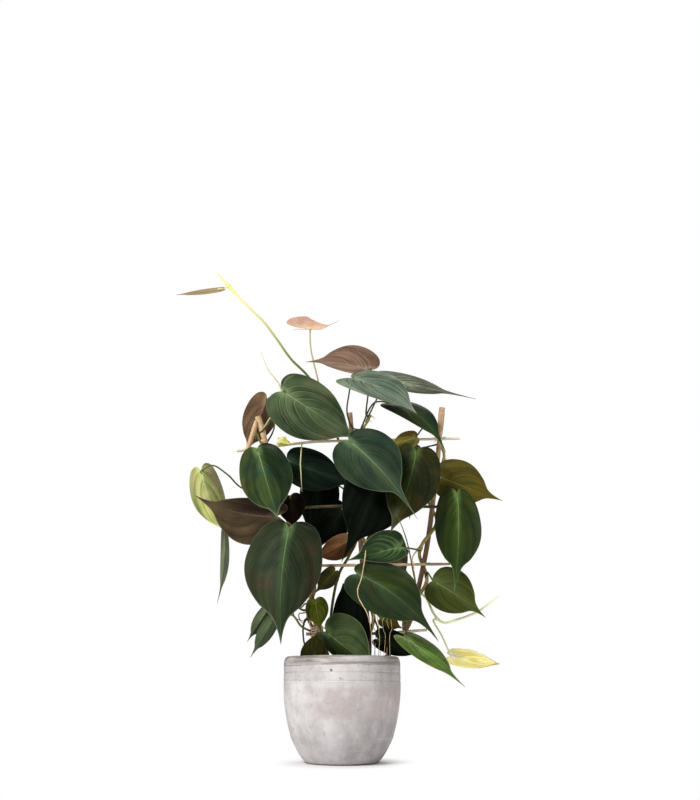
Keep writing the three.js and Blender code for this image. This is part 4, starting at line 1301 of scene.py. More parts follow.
@dataclass
class Trellis:
    """Three bamboo posts that fan out of the soil, and four rungs wired to their fronts."""

    bars: BarMaker
    depth: float = 8.0
    post_radius: float = 3.2
    rung_radius: float = 1.9
    tie_radius: float = 0.6
    gap: float = 0.3

    def __post_init__(self) -> None:
        """Reads the posts and rungs as lines of places."""
        front = self.depth - self.post_radius - self.rung_radius - self.gap
        self.tie_reach = self.post_radius + self.tie_radius + self.gap + 0.8
        self.post_lines = {name: self.level(post.places, self.depth, 1.5) for name, post in POSTS.items()}
        self.rung_lines = {name: self.level(line, front, 2.0) for name, line in RUNGS.items()}

    @staticmethod
    def level(line: Sequence[Uv], depth: float, spacing: float) -> np.ndarray:
        """A line of places at one depth."""
        return evenly(FrontView.points([(u, v, depth) for u, v in line]), spacing)

    def on_post(self, name: str, z: float) -> np.ndarray:
        """The post's centre at a height."""
        line = self.post_lines[name][::-1]
        return np.array([np.interp(z, line[:, 2], line[:, k]) for k in range(2)] + [z])

    def crossing(self, rung: str, post: str) -> np.ndarray:
        """The post's centre where a rung passes it, found in a few rounds from a height halfway up."""
        line, z = self.rung_lines[rung], 300.0
        for _ in range(6):
            z = float(np.interp(self.on_post(post, z)[0], line[:, 0], line[:, 2]))
        return self.on_post(post, z)

    def post(self, name: str) -> Piece:
        """One post, with the ringed joints of bamboo; the outer two thicken above the top rung."""
        line, plan = self.post_lines[name], POSTS[name]
        heights = line[:, 2]
        radius, ring = np.full(len(line), self.post_radius), np.zeros(len(line))
        for z in plan.joints:
            off = heights - z
            radius += 0.45 * np.exp(-((off / 2.0) ** 2)) - 0.3 * np.exp(-(((off - 3.2) / 1.2) ** 2))
            ring = np.maximum(ring, np.exp(-(((off - 3.0) / 1.3) ** 2)))
        radius *= 1 + 0.02 * np.sin(heights * 0.05)
        if name != "middle":
            radius += 0.9 * np.clip((heights - self.crossing("top", name)[2] - 5) / 16, 0, 1)
        mesh = self.bars.make(
            f"post_{name}", [Strand(line, radius, ring)], plan.finish, 16, 0.25, 120.0, plan.seed
        )
        return settle(f"bamboo_post_{name}", mesh, [f"trellis_post_{name}"])

    def tie(self, rung: str, post: str) -> list[Strand]:
        """Two turns of wire round a post and its rung, with a twisted tail.

        Args:
            rung: The rung's name.
            post: The post's name.

        Returns:
            The two turns and the tail.
        """
        x, y, z = self.crossing(rung, post)
        strands = []
        for lift, reach in ((-0.5, 0.0), (0.6, 0.15)):
            angles = np.linspace(0, 2 * math.pi, 33)
            front = np.where(np.sin(angles) < -0.3, self.rung_radius * 1.1, 0.0)
            size = self.post_radius + self.tie_radius * 0.6 + reach
            ring = np.column_stack([
                x + size * np.cos(angles),
                y + size * np.sin(angles) - front,
                z + lift + 0.4 * np.sin(2 * angles),
            ])
            strands.append(Strand(ring, np.full(len(ring), self.tie_radius * 0.62)))
        turns = np.linspace(0, 1, 22)
        tail = np.column_stack([
            x + 2.2 + 5 * turns + 0.5 * np.cos(14 * turns),
            y - self.post_radius - 2 * self.rung_radius - 0.9 - 0.6 * turns,
            z + 0.5 + 1.5 * turns + 0.5 * np.sin(14 * turns),
        ])
        return [*strands, Strand(tail, np.full(len(tail), self.tie_radius * 0.55))]

    def rung(self, name: str) -> Piece:
        """One rung with its wire ties."""
        line = self.rung_lines[name]
        length = np.linspace(0, 1, len(line))
        radius = self.rung_radius * (1 - 0.1 * length) + 0.12 * np.sin(length * 23)
        cane = {"upper": Fibre.DARK_RUNG, "top": Fibre.PALE_RUNG}.get(name, Fibre.RUNG)
        stick = self.bars.make(f"rung_{name}", [Strand(line, radius)], cane, 10, 0.3, 160.0, len(name))
        ties = [strand for post in POSTS for strand in self.tie(name, post)]
        wire = self.bars.make(f"wires_{name}", ties, Fibre.WIRE, 6)
        mesh = joined(f"rung_{name}", [stick, wire])
        return settle(f"bamboo_rung_{name}", mesh, [f"trellis_rung_{name}"])

    def lath(self) -> Piece:
        """The thin split lath beside the left post's top."""
        y = self.depth - 4.0
        places = [(256, 421, y), (254, 430, y - 2), (250.5, 441, y - 3), (247, 452, y - 3)]
        line = evenly(FrontView.points(places), 1.5)
        size = np.interp(np.linspace(0, 1, len(line)), [0, 0.25, 1], [2.0, 3.6, 3.3])
        mesh = self.bars.make("lath", [Strand(line, size)], Fibre.POST, 10, 0.6, 200.0, 6.0)
        return settle("split_lath", mesh)

    def build(self) -> None:
        """Makes every piece of the trellis."""
        for name in POSTS:
            self.post(name)
        for name in RUNGS:
            self.rung(name)
        self.lath()


# The stems


@dataclass(frozen=True)
class StemPlan:
    """One stem: what it climbs or grows from, and its places."""

    name: str
    radius: float
    finish: Fibre
    slot: str
    post: str | None = None
    hand: int = 1
    low: float = 0.0
    high: float = 0.0
    foot: Uv = (0.0, 0.0)
    parent: str | None = None
    start: Uv = (0.0, 0.0)
    free: tuple[Uvy, ...] = ()


# The radius of the old stems, in millimetres
OLD_STEM = 2.3
STEMS = [
    StemPlan("left", OLD_STEM, Fibre.BARK, "stem", "left", 1, 128, 405, (-36, 18)),
    StemPlan(
        "middle", OLD_STEM, Fibre.BARK, "stem", "middle", -1, 128, 400, (20, 24),
        free=((366, 424, 20), (371, 415, 16)),
    ),
    StemPlan("right", OLD_STEM, Fibre.BARK, "stem", "right", 1, 146, 405, (38, 22)),
    StemPlan(
        "runner", 1.8, Fibre.GREEN, "young_stem", foot=(-8, 36),
        free=(
            (331, 628, 20), (333, 600, 14), (339, 574, 14), (349, 556, 18), (357, 536, 28), (354, 500, 40),
            (342, 450, 40), (325, 410, 28), (310, 379, 12), (291, 359, 2), (276, 338, -4), (263, 321, -8),
            (250, 308.5, -10), (238, 296, -12), (228, 285.5, -13), (217, 273, -14),
        ),
    ),
    StemPlan(
        "shoot", 1.5, Fibre.SHOOT, "young_stem", parent="right", start=(418, 591),
        free=(
            (428, 601, 4), (434, 614, -4), (443, 622.5, -10), (456, 620, -14), (468, 616, -18),
            (481, 610, -22), (498, 596, -26),
        ),
    ),
]


@dataclass
class Stems:
    """The stems that wind round the posts, the runner and the shoot."""

    trellis: Trellis
    bars: BarMaker
    soil_top: float
    hole_foot: float = 62.0
    step: float = 12.0

    def __post_init__(self) -> None:
        """Reads every stem as a line of places."""
        trellis = self.trellis
        self.wind_radius = trellis.tie_reach + trellis.tie_radius + OLD_STEM + 2 * trellis.gap
        self.lines: dict[str, np.ndarray] = {}
        self.buds: dict[str, list[np.ndarray]] = {plan.name: [] for plan in STEMS}
        for plan in STEMS:
            self.lines[plan.name] = evenly(self.route(plan), 1.5)

    def wind(self, plan: StemPlan) -> list[np.ndarray]:
        """A stem round its post, once between two rungs and at the back at each rung.

        Args:
            plan: The stem.

        Returns:
            Its places, a step apart in height.
        """
        trellis, post = self.trellis, plan.post or ""
        knots = [float(trellis.crossing(rung, post)[2]) for rung in trellis.rung_lines]
        points = []
        for z in np.arange(plan.low, plan.high + 1e-6, self.step):
            above = sum(knot <= z for knot in knots)
            low = knots[above - 1] if above else 2 * knots[0] - knots[1]
            high = knots[above] if above < len(knots) else low + 75
            angle = math.pi / 2 + plan.hand * (z - low) / (high - low) * 2 * math.pi
            out = np.array([math.cos(angle), math.sin(angle), 0.0])
            if not points:
                points.append(trellis.on_post(post, z - self.step) + out * (self.wind_radius + 3))
            points.append(trellis.on_post(post, z) + out * self.wind_radius)
        return points

    def route(self, plan: StemPlan) -> np.ndarray:
        """A stem's places from its hole in the soil, or from the stem it grows on."""
        freed = FrontView.points(plan.free)
        if plan.parent:
            return np.array([*self.budding(plan.parent, plan.start, freed[0]), *freed])
        entry = np.array([*plan.foot, 0.0])
        rise = [entry + UP * z for z in (self.hole_foot, self.soil_top - 12, self.soil_top + 4)]
        return np.array([*rise, *(self.wind(plan) if plan.post else []), *freed])

    def budding(self, name: str, start: Uv, aim: np.ndarray) -> list[np.ndarray]:
        """The first places of what grows on a stem, whose joint there is noted.

        Args:
            name: The stem.
            start: Where it leaves the stem, on the front view.
            aim: The point that it makes for.

        Returns:
            A place inside the stem's skin, and one square away from it.
        """
        line = self.lines[name]
        shown = FrontView.points([(*start, place[1]) for place in line])
        off = np.linalg.norm(np.array(shown) - line, axis=1)
        off[line[:, 2] < self.soil_top + 8] = np.inf
        k = int(np.clip(np.argmin(off), 1, len(line) - 2))
        self.buds[name].append(line[k])
        tangent = unit_vector(line[k + 1] - line[k - 1])
        out = unit_vector((aim - line[k]) - tangent * float((aim - line[k]) @ tangent))
        radius = next(plan.radius for plan in STEMS if plan.name == name)
        return [line[k] + out * radius * 0.3, line[k] + out * (radius + 5.3)]

    def stem(self, plan: StemPlan) -> Piece:
        """One stem, thickened at each joint and thinned to its tip."""
        line = self.lines[plan.name]
        share = np.linspace(0, 1, len(line))
        radius = plan.radius * np.interp(share, [0, 0.7, 0.96, 1], [1, 0.97, 0.8, 0.45])
        ring = np.zeros(len(line))
        if plan.name == "runner":
            radius += 1.5 * np.exp(-(((share - 0.955) / 0.018) ** 2))
        for bud in self.buds[plan.name]:
            off = np.linalg.norm(line - bud, axis=1)
            radius += 0.45 * np.exp(-((off / 2.4) ** 2))
            ring = np.maximum(ring, 0.7 * np.exp(-(((off - 2.5) / 0.9) ** 2)))
        seed, relief = float(len(plan.name) + plan.hand), 0.4 if plan.finish is Fibre.BARK else 0.06
        strand = Strand(line, radius, ring)
        mesh = self.bars.make(f"stem_{plan.name}", [strand], plan.finish, 12, relief, 260.0, seed)
        return settle(f"climbing_stem_{plan.name}", mesh, [f"stem_{plan.name}"])

    def build(self) -> None:
        """Makes every stem, once all that grows on them has its joint."""
        for plan in STEMS:
            self.stem(plan)


# The leaves


@dataclass(frozen=True)
class Leaf:
    """One leaf: where its stalk leaves its stem and meets the blade, the tip, and how the halves spread."""

    name: str
    stem: str
    start: Uv
    base: Uvy
    tip: Uvy
    left: float
    right: float
    face: int = 1
    lean: Uv = (-1, -1)
    bow: float = 0.0
    tail: float = 0.18
    lobe: float = 0.13
    pinch: float = 0.0
    broad: float = 1.0
    via: tuple[Uvy, ...] = ()
    stalk: float = 1.2
    arch: float = 0.05
    curl: float = 0.06
    wave: float = 0.01
    crumple: float = 0.0
    look: Leafage = Leafage.VELVET
    slot: str = "velvet_leaf"
    stalk_look: Fibre = Fibre.STALK


LEAVES = [
    Leaf(
        "upper_left_big", "left", (263, 422), (283, 391.5, -46), (353, 437, -36), 28, 33, tail=0.06,
        lobe=0.11, via=((276, 413, -14),), look=Leafage.LIT, slot="light_leaf",
    ),
    Leaf(
        "upper_left_maroon", "left", (269, 441), (267, 399, 24), (245, 455, 30), 17, 17, face=-1,
        via=((274, 428, 20), (273, 411, 23)), look=Leafage.RUSSET, slot="maroon_leaf",
    ),
    Leaf(
        "left_green", "left", (276, 478), (257, 449, -42), (278, 519, -74), 28, 26, tail=0.1,
        via=((266, 456, -22),),
    ),
    Leaf(
        "front_centre", "middle", (355, 473), (349, 441, -62), (418, 520, -96), 35, 34, bow=5, tail=0.28,
        lobe=0.15, pinch=0.4, via=((350, 450, -40),), look=Leafage.SLATE,
    ),
    Leaf(
        "front_left_big", "left", (293, 540), (289, 528, -72), (281, 645, -104), 40, 40, bow=-4, tail=0.17,
        via=((289, 530, -50),), look=Leafage.BRONZE,
    ),
    Leaf(
        "right_big", "right", (437, 521), (457, 493, -43), (454, 592, -66), 24, 24, bow=3, tail=0.2,
        via=((444, 514, -14), (450, 504, -30)), look=Leafage.FRESH,
    ),
    Leaf(
        "right_low", "right", (421, 577), (433, 581, -22), (486, 618, -46), 23, 22, bow=2, tail=0.2,
        lobe=0.08, look=Leafage.MOSS,
    ),
    Leaf(
        "right_olive", "right", (440, 459), (442, 478, -6), (503, 501, -15), 24, 20, tail=0.22, lobe=0.16,
        broad=0.8, look=Leafage.GOLDEN,
    ),
    Leaf(
        "centre_right", "right", (435, 468), (416, 452, -40), (390, 533, -58), 30, 24, bow=3, tail=0.12,
        broad=0.82, via=((426, 457, -20),), look=Leafage.DEEP,
    ),
    Leaf(
        "centre_dark", "middle", (363, 490), (385, 468, -16), (341, 563, -28), 38, 31, tail=0.22, broad=0.7,
        via=((373, 478, -10),), look=Leafage.SHADE,
    ),
    Leaf(
        "centre_low_dark", "runner", (356, 520), (343, 508, 20), (317, 551, 26), 17, 16, broad=0.9,
        via=((350, 511, 26),), look=Leafage.SHADE,
    ),
    Leaf(
        "centre_blue", "runner", (346, 468), (289, 461, -11), (351, 485, -15), 20, 21, tail=0.1, lobe=0.1,
        via=((322, 462, 6),), look=Leafage.TEAL,
    ),
    Leaf(
        "left_maroon", "left", (291, 529), (276, 516, -21), (194, 495, -41), 30, 17, face=-1, lean=(-1, 1),
        bow=6, tail=0.2, broad=0.7, look=Leafage.MAROON, slot="maroon_leaf",
    ),
    Leaf(
        "left_maroon_dark", "left", (292, 520), (290, 497, -12), (294, 530, -20), 14, 13, face=-1,
        look=Leafage.DUSKY, slot="maroon_leaf",
    ),
    Leaf(
        "far_left_light", "left", (278, 494), (201, 471, -10), (227, 533, -4), 16, 17, bow=-3, tail=0.08,
        via=((242, 488, 4), (228, 475, -2), (213, 465.5, -8)), look=Leafage.LIGHT, slot="light_leaf",
    ),
    Leaf(
        "far_left_edge", "left", (292, 552), (225, 529, 16), (217, 604, 4), 5, 4, bow=3,
        via=((266, 544, 20), (240, 530, 20)), look=Leafage.MIST, slot="light_leaf",
    ),
    Leaf(
        "centre_pointing_left", "right", (424, 550), (400, 547, -44), (345, 561, -58), 12, 20, lean=(1, -1),
        tail=0.2, broad=0.9, via=((414, 549, -22),), look=Leafage.STRIPED,
    ),
    Leaf(
        "low_centre_big", "middle", (364, 600), (357, 574, -80), (439, 642, -108), 28, 27, bow=8, tail=0.24,
        via=((360, 582, -46),), look=Leafage.COOL,
    ),
    Leaf(
        "bottom_centre", "left", (321, 650), (326, 632, -26), (372, 668, -44), 28, 14, tail=0.05,
        look=Leafage.LEAFY,
    ),
    Leaf(
        "bottom_left_olive", "left", (310, 618), (313, 664, -31), (318, 631, -28), 14, 11, tail=0.1,
        lobe=0.03, via=((303, 631, 5), (305, 646, -17)), look=Leafage.TAWNY, slot="light_leaf",
    ),
    Leaf(
        "low_left_olive", "left", (311, 599), (315, 601, -10), (321, 632, -13), 12, 11, look=Leafage.OLIVE,
        slot="light_leaf",
    ),
    Leaf(
        "low_centre_dark", "middle", (366, 651), (353, 641, -8), (343, 583, -14), 17, 20, tail=0.05,
        broad=0.8, look=Leafage.SHADE,
    ),
    Leaf(
        "orange_underside", "middle", (356, 521), (349, 541, -14), (313, 560, -18), 13, 11, face=-1,
        look=Leafage.ORANGE, slot="maroon_leaf",
    ),
    Leaf(
        "centre_olive", "runner", (337, 580), (335, 571, -14), (314, 594, -18), 9, 9, look=Leafage.TAWNY,
        slot="light_leaf",
    ),
    Leaf(
        "low_left_small", "left", (309, 610), (268, 608, -20), (247, 642, -30), 9, 7, via=((290, 604, -2),),
        look=Leafage.LIT,
    ),
    Leaf(
        "low_left_pointed", "left", (309, 632), (276, 615, -40), (250, 658, -54), 8, 8, stalk=1.4,
        via=((301, 626, -10), (292, 615, -24)), look=Leafage.LIT, stalk_look=Fibre.FRESH_STALK,
    ),
    Leaf(
        "low_right_front", "right", (410, 616), (406, 638, -58), (465, 687, -100), 12, 10, lean=(-1, 1),
        bow=1, tail=0.2, broad=0.7, via=((406, 626, -34),), look=Leafage.BRIGHT,
    ),
    Leaf(
        "low_right_dark", "middle", (372, 618), (378, 639, -14), (424, 657, -22), 14, 10, broad=0.6,
        via=((378, 629, -6),), look=Leafage.SHADE,
    ),
    Leaf(
        "yellow_curled", "shoot", (437, 619), (451, 656, -30), (500, 664, -38), 9, 9, tail=0.08, lobe=0.1,
        via=((442, 636, -20),), crumple=1.0, curl=0.5, look=Leafage.YELLOW, slot="yellow_leaf",
        stalk_look=Fibre.SHOOT,
    ),
    Leaf(
        "small_olive", "middle", (370, 604), (381, 619, -16), (404, 629, -18), 8, 7, look=Leafage.TAWNY,
        slot="light_leaf",
    ),
    Leaf(
        "upper_right_olive", "right", (438, 416), (416, 437, -16), (387, 448, -18), 9, 9,
        via=((428, 424, -14),), look=Leafage.AMBER, slot="maroon_leaf",
    ),
    Leaf(
        "upper_left_bud", "left", (280, 464), (278, 441, -16), (293, 445, -20), 5, 5, crumple=2.5, curl=0.2,
        look=Leafage.LIME, slot="yellow_leaf", stalk_look=Fibre.SHOOT,
    ),
    Leaf(
        "top_pink", "runner", (316, 386), (310, 329, -2), (339, 320.5, 16), 17, 3, face=-1, lean=(-1, 1),
        bow=-2, tail=0.3, lobe=1, broad=1.4, pinch=2, via=((311, 350, 4),), look=Leafage.PINK,
        slot="pink_leaf", stalk_look=Fibre.PALE,
    ),
    Leaf(
        "top_brown", "middle", (371, 415), (371, 370, 8), (305, 362, -6), 8, 20, face=-1, lean=(-1, 1),
        bow=-3, tail=0.2, via=((369, 388, 10),), look=Leafage.COPPER, slot="maroon_leaf",
    ),
    Leaf(
        "top_grey", "middle", (360, 433), (352, 378, -22), (417, 414, -54), 18, 14, lean=(-1, 1), bow=5,
        tail=0.1, lobe=0.1, via=((352, 427, -8), (347, 412, -8), (349, 394, -11)), look=Leafage.GREY,
    ),
    Leaf(
        "top_right_edge", "middle", (367, 420), (384, 378, 36), (476, 399, 40), 9, 8, lean=(-1, 1), tail=0.3,
        broad=0.6, via=((378, 396, 28),), look=Leafage.STRIPED_GREY,
    ),
    Leaf(
        "upper_right_dark", "middle", (362, 430), (394, 404, -12), (446, 453, -34), 12, 12, lean=(-1, 1),
        bow=9, tail=0.2, broad=0.7, via=((374, 403, -2),), look=Leafage.FOREST,
    ),
    Leaf(
        "runner_young", "runner", (226, 287), (220, 289, -12), (176, 295, -16), 3, 2, lean=(1, -1), tail=0.1,
        stalk=0.9, look=Leafage.TENDER, slot="pink_leaf", stalk_look=Fibre.SHOOT,
    ),
    Leaf("back_upper_middle", "middle", (353, 445), (364, 448, 66), (366, 524, 104), 26, 26, face=-1),
    Leaf(
        "back_upper_right", "right", (440, 441), (404, 452, 84), (410, 520, 118), 23, 23, face=-1,
        look=Leafage.FRESH,
    ),
    Leaf(
        "back_middle_left", "left", (286, 509), (291, 535, 64), (284, 605, 100), 24, 24, face=-1,
        look=Leafage.BRONZE,
    ),
    Leaf(
        "centre_shadow", "runner", (352, 490), (318, 475, 30), (316, 554, 46), 22, 18, broad=0.7,
        via=((336, 484, 38),), look=Leafage.SHADE,
    ),
    Leaf(
        "back_middle_right", "middle", (361, 546), (384, 540, 66), (394, 612, 100), 22, 22, face=-1,
        look=Leafage.SLATE,
    ),
    Leaf("back_low_left", "left", (302, 567), (290, 580, 44), (284, 628, 70), 17, 17, face=-1),
    Leaf("back_low_right", "middle", (363, 567), (392, 574, 36), (404, 622, 58), 17, 17, face=-1),
]


@dataclass(frozen=True)
class Spread:
    """How a leaf lies: its base, length and directions, and how far each half reaches."""

    leaf: Leaf
    base: np.ndarray
    along: np.ndarray
    left: np.ndarray
    up: np.ndarray
    unit: float
    length: float
    halves: tuple[np.ndarray, np.ndarray]

    def midrib(self, m: np.ndarray) -> np.ndarray:
        """Places on the midrib, and past its base, at shares of its length."""
        hump = np.where(m > 0, 4 * m * (1 - m), 4 * m)[:, None]
        line = self.base + self.along * (m * self.length)[:, None]
        return line + hump * (self.left * self.leaf.bow * self.unit + self.up * self.leaf.arch * self.length)


def skin(points: np.ndarray, faces: Faces) -> tuple[np.ndarray, list[tuple[int, int]]]:
    """What a sheet needs to be given a thickness.

    Args:
        points: The sheet's points.
        faces: Its faces.

    Returns:
        The normal at each point, and the edges along the rim, each the way its one face runs.
    """
    normals = np.zeros_like(points)
    rim: dict[tuple[int, int], bool] = {}
    for face in faces:
        for n, corner in enumerate(face):
            a, b, c = points[face[n - 1]], points[corner], points[face[(n + 1) % len(face)]]
            normals[corner] += np.cross(b - a, c - b)
            pair = (face[n - 1], corner)
            if (pair[1], pair[0]) in rim:
                del rim[(pair[1], pair[0])]
            else:
                rim[pair] = True
    normals /= np.maximum(np.linalg.norm(normals, axis=1), 1e-9)[:, None]
    return normals, list(rim)


@dataclass
class Foliage:
    """Every leaf: a veined blade of even thickness with its stalk."""

    stems: Stems
    bars: BarMaker
    rows: int = 56
    columns: int = 9
    pace: float = 2.4
    thickness: float = 0.5
    half_width: float = 0.375
    veins: int = 7
    vein_sweep: float = 0.6
    widest_gap: float = 18.0
    quilt: float = 0.04
    bulge: float = 0.08
    ripple: float = 0.7
    crumples: tuple[Uvy, ...] = ((0.0, 0.0, 0.0), (17.3, 5.1, 0.0), (3.7, 31.9, 0.0))

    @staticmethod
    def outline(leaf: Leaf, steps: int) -> np.ndarray:
        """A heart with a drip tip: share of the length, and of the half width, at steps round one half."""
        tail, body, lobe = leaf.tail, 1 - leaf.tail, leaf.lobe
        places = [
            (0, 0), (-0.7 * lobe * body, 0.15), (-lobe * body, 0.4), (-0.6 * lobe * body, 0.7),
            (0.09 * body, 0.92), (0.33 * body, 1), (0.56 * body, 0.88), (0.78 * body, 0.56),
            (0.93 * body, 0.22), (body + 0.35 * tail, 0.07), (1, 0),
        ]
        return through([(s, w * (1 - max(0.0, s)) ** leaf.pinch) for s, w in places], steps, clamped=True)

    def spread(self, leaf: Leaf) -> Spread:
        """How a leaf lies between its base and its tip."""
        base, tip = FrontView.at(*leaf.base), FrontView.at(*leaf.tip)
        along, middle = unit_vector(tip - base), (base + tip) / 2
        left = unit_vector(np.cross(along, unit_vector(middle - FrontView.EYE)))
        near = unit_vector(np.cross(along, left))
        unit, length = FrontView.unit(middle), float(np.linalg.norm(tip - base))
        halves = []
        for side, seen, lean in ((1, leaf.left, leaf.lean[0]), (-1, leaf.right, leaf.lean[1])):
            width = max(self.half_width * leaf.broad * length, seen * unit)
            shown = min(1.0, seen * unit / width)
            halves.append(width * (left * side * shown + near * lean * math.sqrt(1 - shown * shown)))
        return Spread(leaf, base, along, left, near * leaf.face, unit, length, (halves[0], halves[1]))

    def vein_share(self, t: np.ndarray, r: np.ndarray) -> np.ndarray:
        """Which vein each place lies on: veins start on the midrib and sweep forward to the edge.

        Args:
            t: The places' shares of the way from base to tip.
            r: Their shares of the way from midrib to edge.

        Returns:
            For each place, the share of the midrib at which its vein starts.
        """
        q = np.linspace(0, 1, 400)
        out = np.empty_like(t)
        for column in range(t.shape[1]):
            share = r[0, column]
            bend = share * (0.65 + 0.35 * share)
            swept = q + self.vein_sweep * bend * (1 - q) * np.minimum(1, q / 0.15)
            out[:, column] = np.interp(t[:, column], swept, q)
        return out

    def half(self, spread: Spread, half: int) -> tuple[np.ndarray, dict[str, np.ndarray]]:
        """One half of the blade's middle surface.

        Args:
            spread: How the leaf lies.
            half: Which half: 0 is the left one and 1 the right one.

        Returns:
            Its grid of places, from the midrib to the edge, and the numbers stored at them.
        """
        leaf, length, up = spread.leaf, spread.length, spread.up
        seed = sum(ord(letter) for letter in leaf.name)
        t, r = np.linspace(0, 1, self.rows + 1), np.linspace(0, 1, self.columns + 1)
        spine = spread.midrib(t**self.pace)
        s, w = self.outline(leaf, self.rows).T
        wide = float(np.linalg.norm(spread.halves[half]))
        edge = spread.midrib(s) + spread.halves[half] * w[:, None]
        edge -= up * (leaf.curl * w**2 * length * self.half_width)[:, None]
        edge += up * (leaf.wave * w * length * np.sin(7 * t * math.pi + 2 * half))[:, None]
        tt, rr = np.meshgrid(t, r, indexing="ij")
        grid = spine[:, None] + (edge - spine)[:, None] * rr[..., None]
        q = self.vein_share(tt, rr)
        step = np.linalg.norm(np.gradient(grid, t, axis=0), axis=2)
        gap = step / np.maximum(np.gradient(q, t, axis=0), 0.2) / self.veins
        gap = np.clip(gap, 0.2, self.widest_gap)
        rib = rr * w[:, None] * wide
        reach = np.linalg.norm(edge - spine, axis=1)
        true = np.where(t < 0.4, reach, np.minimum(reach, w * wide))
        rim = (1 - rr) * true[:, None]
        bulge = self.bulge * wide * w[:, None] * 4 * rr * (1 - rr)
        fade = np.clip(rib / 7, 0, 1) * np.clip(rim / 5, 0, 1)
        quilting = self.quilt * gap * np.cos(2 * math.pi * self.veins * q) * fade
        ripple = self.ripple * np.sin(9 * tt + 3 * rr + seed + half) * np.clip(rib / 12, 0, 1)
        grid = grid + up * (bulge + quilting + ripple)[..., None]
        if leaf.crumple:
            for place in np.ndindex(grid.shape[:2]):
                spot = Vector(grid[place] * 0.16) + Vector((0, 0, seed))
                push = np.array([noise.noise(spot + Vector(shift)) for shift in self.crumples])
                grid[place] += push * leaf.crumple * min(1.0, float(rib[place]) / 3)
        along = np.repeat(np.clip(t**self.pace, 0, 1)[:, None], self.columns + 1, axis=1)
        return grid, {
            "vein_phase": q * self.veins + 0.2 * half,
            "vein_gap": gap,
            "rib_mm": rib,
            "edge_mm": rim,
            "side": (1 - 2 * half) * np.clip(rib / 5, 0, 1),
            "along": along + (np.clip(s, 0, 1)[:, None] - along) * rr,
        }

    def sheet(self, spread: Spread) -> tuple[np.ndarray, Faces, dict[str, np.ndarray]]:
        """The blade's middle surface, whose halves share the midrib.

        Args:
            spread: How the leaf lies.

        Returns:
            Its points, its faces, and the numbers stored at its points.
        """
        rows, columns = self.rows, self.columns
        points = [*spread.midrib(np.linspace(0, 1, rows + 1) ** self.pace)]
        faces: Faces = []
        store: dict[str, list[np.ndarray]] = {}
        for half in (0, 1):
            grid, values = self.half(spread, half)
            index = np.zeros((rows + 1, columns + 1), int)
            index[:, 0] = np.arange(rows + 1)
            index[0], index[-1] = 0, rows
            index[1:-1, 1:] = np.arange((rows - 1) * columns).reshape(rows - 1, columns) + len(points)
            points.extend(grid[1:-1, 1:].reshape(-1, 3))
            for key, value in values.items():
                kept = store.setdefault(key, [value[:, 0]])
                kept.append(value[1:-1, 1:].reshape(-1))
            for k, j in np.ndindex(rows, columns):
                ring = [index[k, j], index[k + 1, j], index[k + 1, j + 1], index[k, j + 1]]
                ring = [int(a) for n, a in enumerate(ring) if a != ring[n - 1]]
                if len(set(ring)) > 2:
                    faces.append(tuple(ring[::-1] if half else ring))
        return np.array(points), faces, {key: np.concatenate(value) for key, value in store.items()}

    def blade(self, leaf: Leaf) -> Mesh:
        """The closed blade, with an upper face and an underside.

        Args:
            leaf: The leaf.

        Returns:
            Its mesh, in metres.
        """
        spread = self.spread(leaf)
        points, faces, numbers = self.sheet(spread)
        normals, rim = skin(points, faces)
        side = 1.0 if float(np.mean(normals @ spread.up)) > 0 else -1.0
        count = len(points)
        rib = np.exp(-((numbers["rib_mm"] / 1.1) ** 2)) * (1 - numbers["along"]) ** 0.7
        above = points + normals * (self.thickness / 2)
        below = points - normals * (self.thickness / 2)
        under, over = (below, above) if side > 0 else (above, below)
        away = -normals * side
        under += away * (0.8 * rib)[:, None]
        over += away * (0.2 * rib)[:, None]
        rings = [(b, a, a + count, b + count) for a, b in rim]
        back = [tuple(k + count for k in reversed(face)) for face in faces]
        mesh = bpy.data.meshes.new("blade_" + leaf.name)
        mesh.from_pydata((np.vstack([above, below]) * MM).tolist(), [], faces + back + rings)
        for finish in leaf.look.value:
            mesh.materials.append(finish.material())
        upper, lower = (0, 1) if side > 0 else (1, 0)
        slots = [upper] * len(faces) + [lower] * len(back) + [1] * len(rings)
        mesh.polygons.foreach_set("material_index", slots)
        for key, value in numbers.items():
            stored(mesh, key, np.concatenate([value, value]))
        mesh.shade_smooth()
        edges = {frozenset(edge.vertices): edge.index for edge in mesh.edges}
        sharp = np.zeros(len(mesh.edges), bool)
        for a, b in rim:
            sharp[edges[frozenset((a, b))]] = sharp[edges[frozenset((a + count, b + count))]] = True
        mesh.attributes.new("sharp_edge", "BOOLEAN", "EDGE").data.foreach_set("value", sharp)
        return mesh

    def stalk(self, leaf: Leaf) -> Mesh:
        """The stalk, from its sheath on the stem to the underside of the blade."""
        spread = self.spread(leaf)
        seat = spread.base - spread.up * 0.8
        way = FrontView.points(leaf.via)
        start = self.stems.budding(leaf.stem, leaf.start, way[0] if way else seat)
        rest = spread.midrib(np.array([0.03, 0.06])) - spread.up * 0.5
        line = evenly([*start, *way, seat, *rest], 1.6)
        places, sizes = [0, 0.06, 0.2, 0.86, 0.93, 0.97, 1], [1.5, 1.2, 0.95, 0.9, 1.2, 0.8, 0.3]
        size = leaf.stalk * np.interp(np.linspace(0, 1, len(line)), places, sizes)
        return self.bars.make("stalk_" + leaf.name, [Strand(line, size)], leaf.stalk_look, 9, 0.15, 300.0)

    def build(self) -> None:
        """Makes every leaf."""
        for leaf in LEAVES:
            mesh = joined("leaf_" + leaf.name, [self.blade(leaf), self.stalk(leaf)])
            settle("velvet_leaf_" + leaf.name, mesh, ["leaf_" + leaf.name])


# Roots, tendrils and raffia


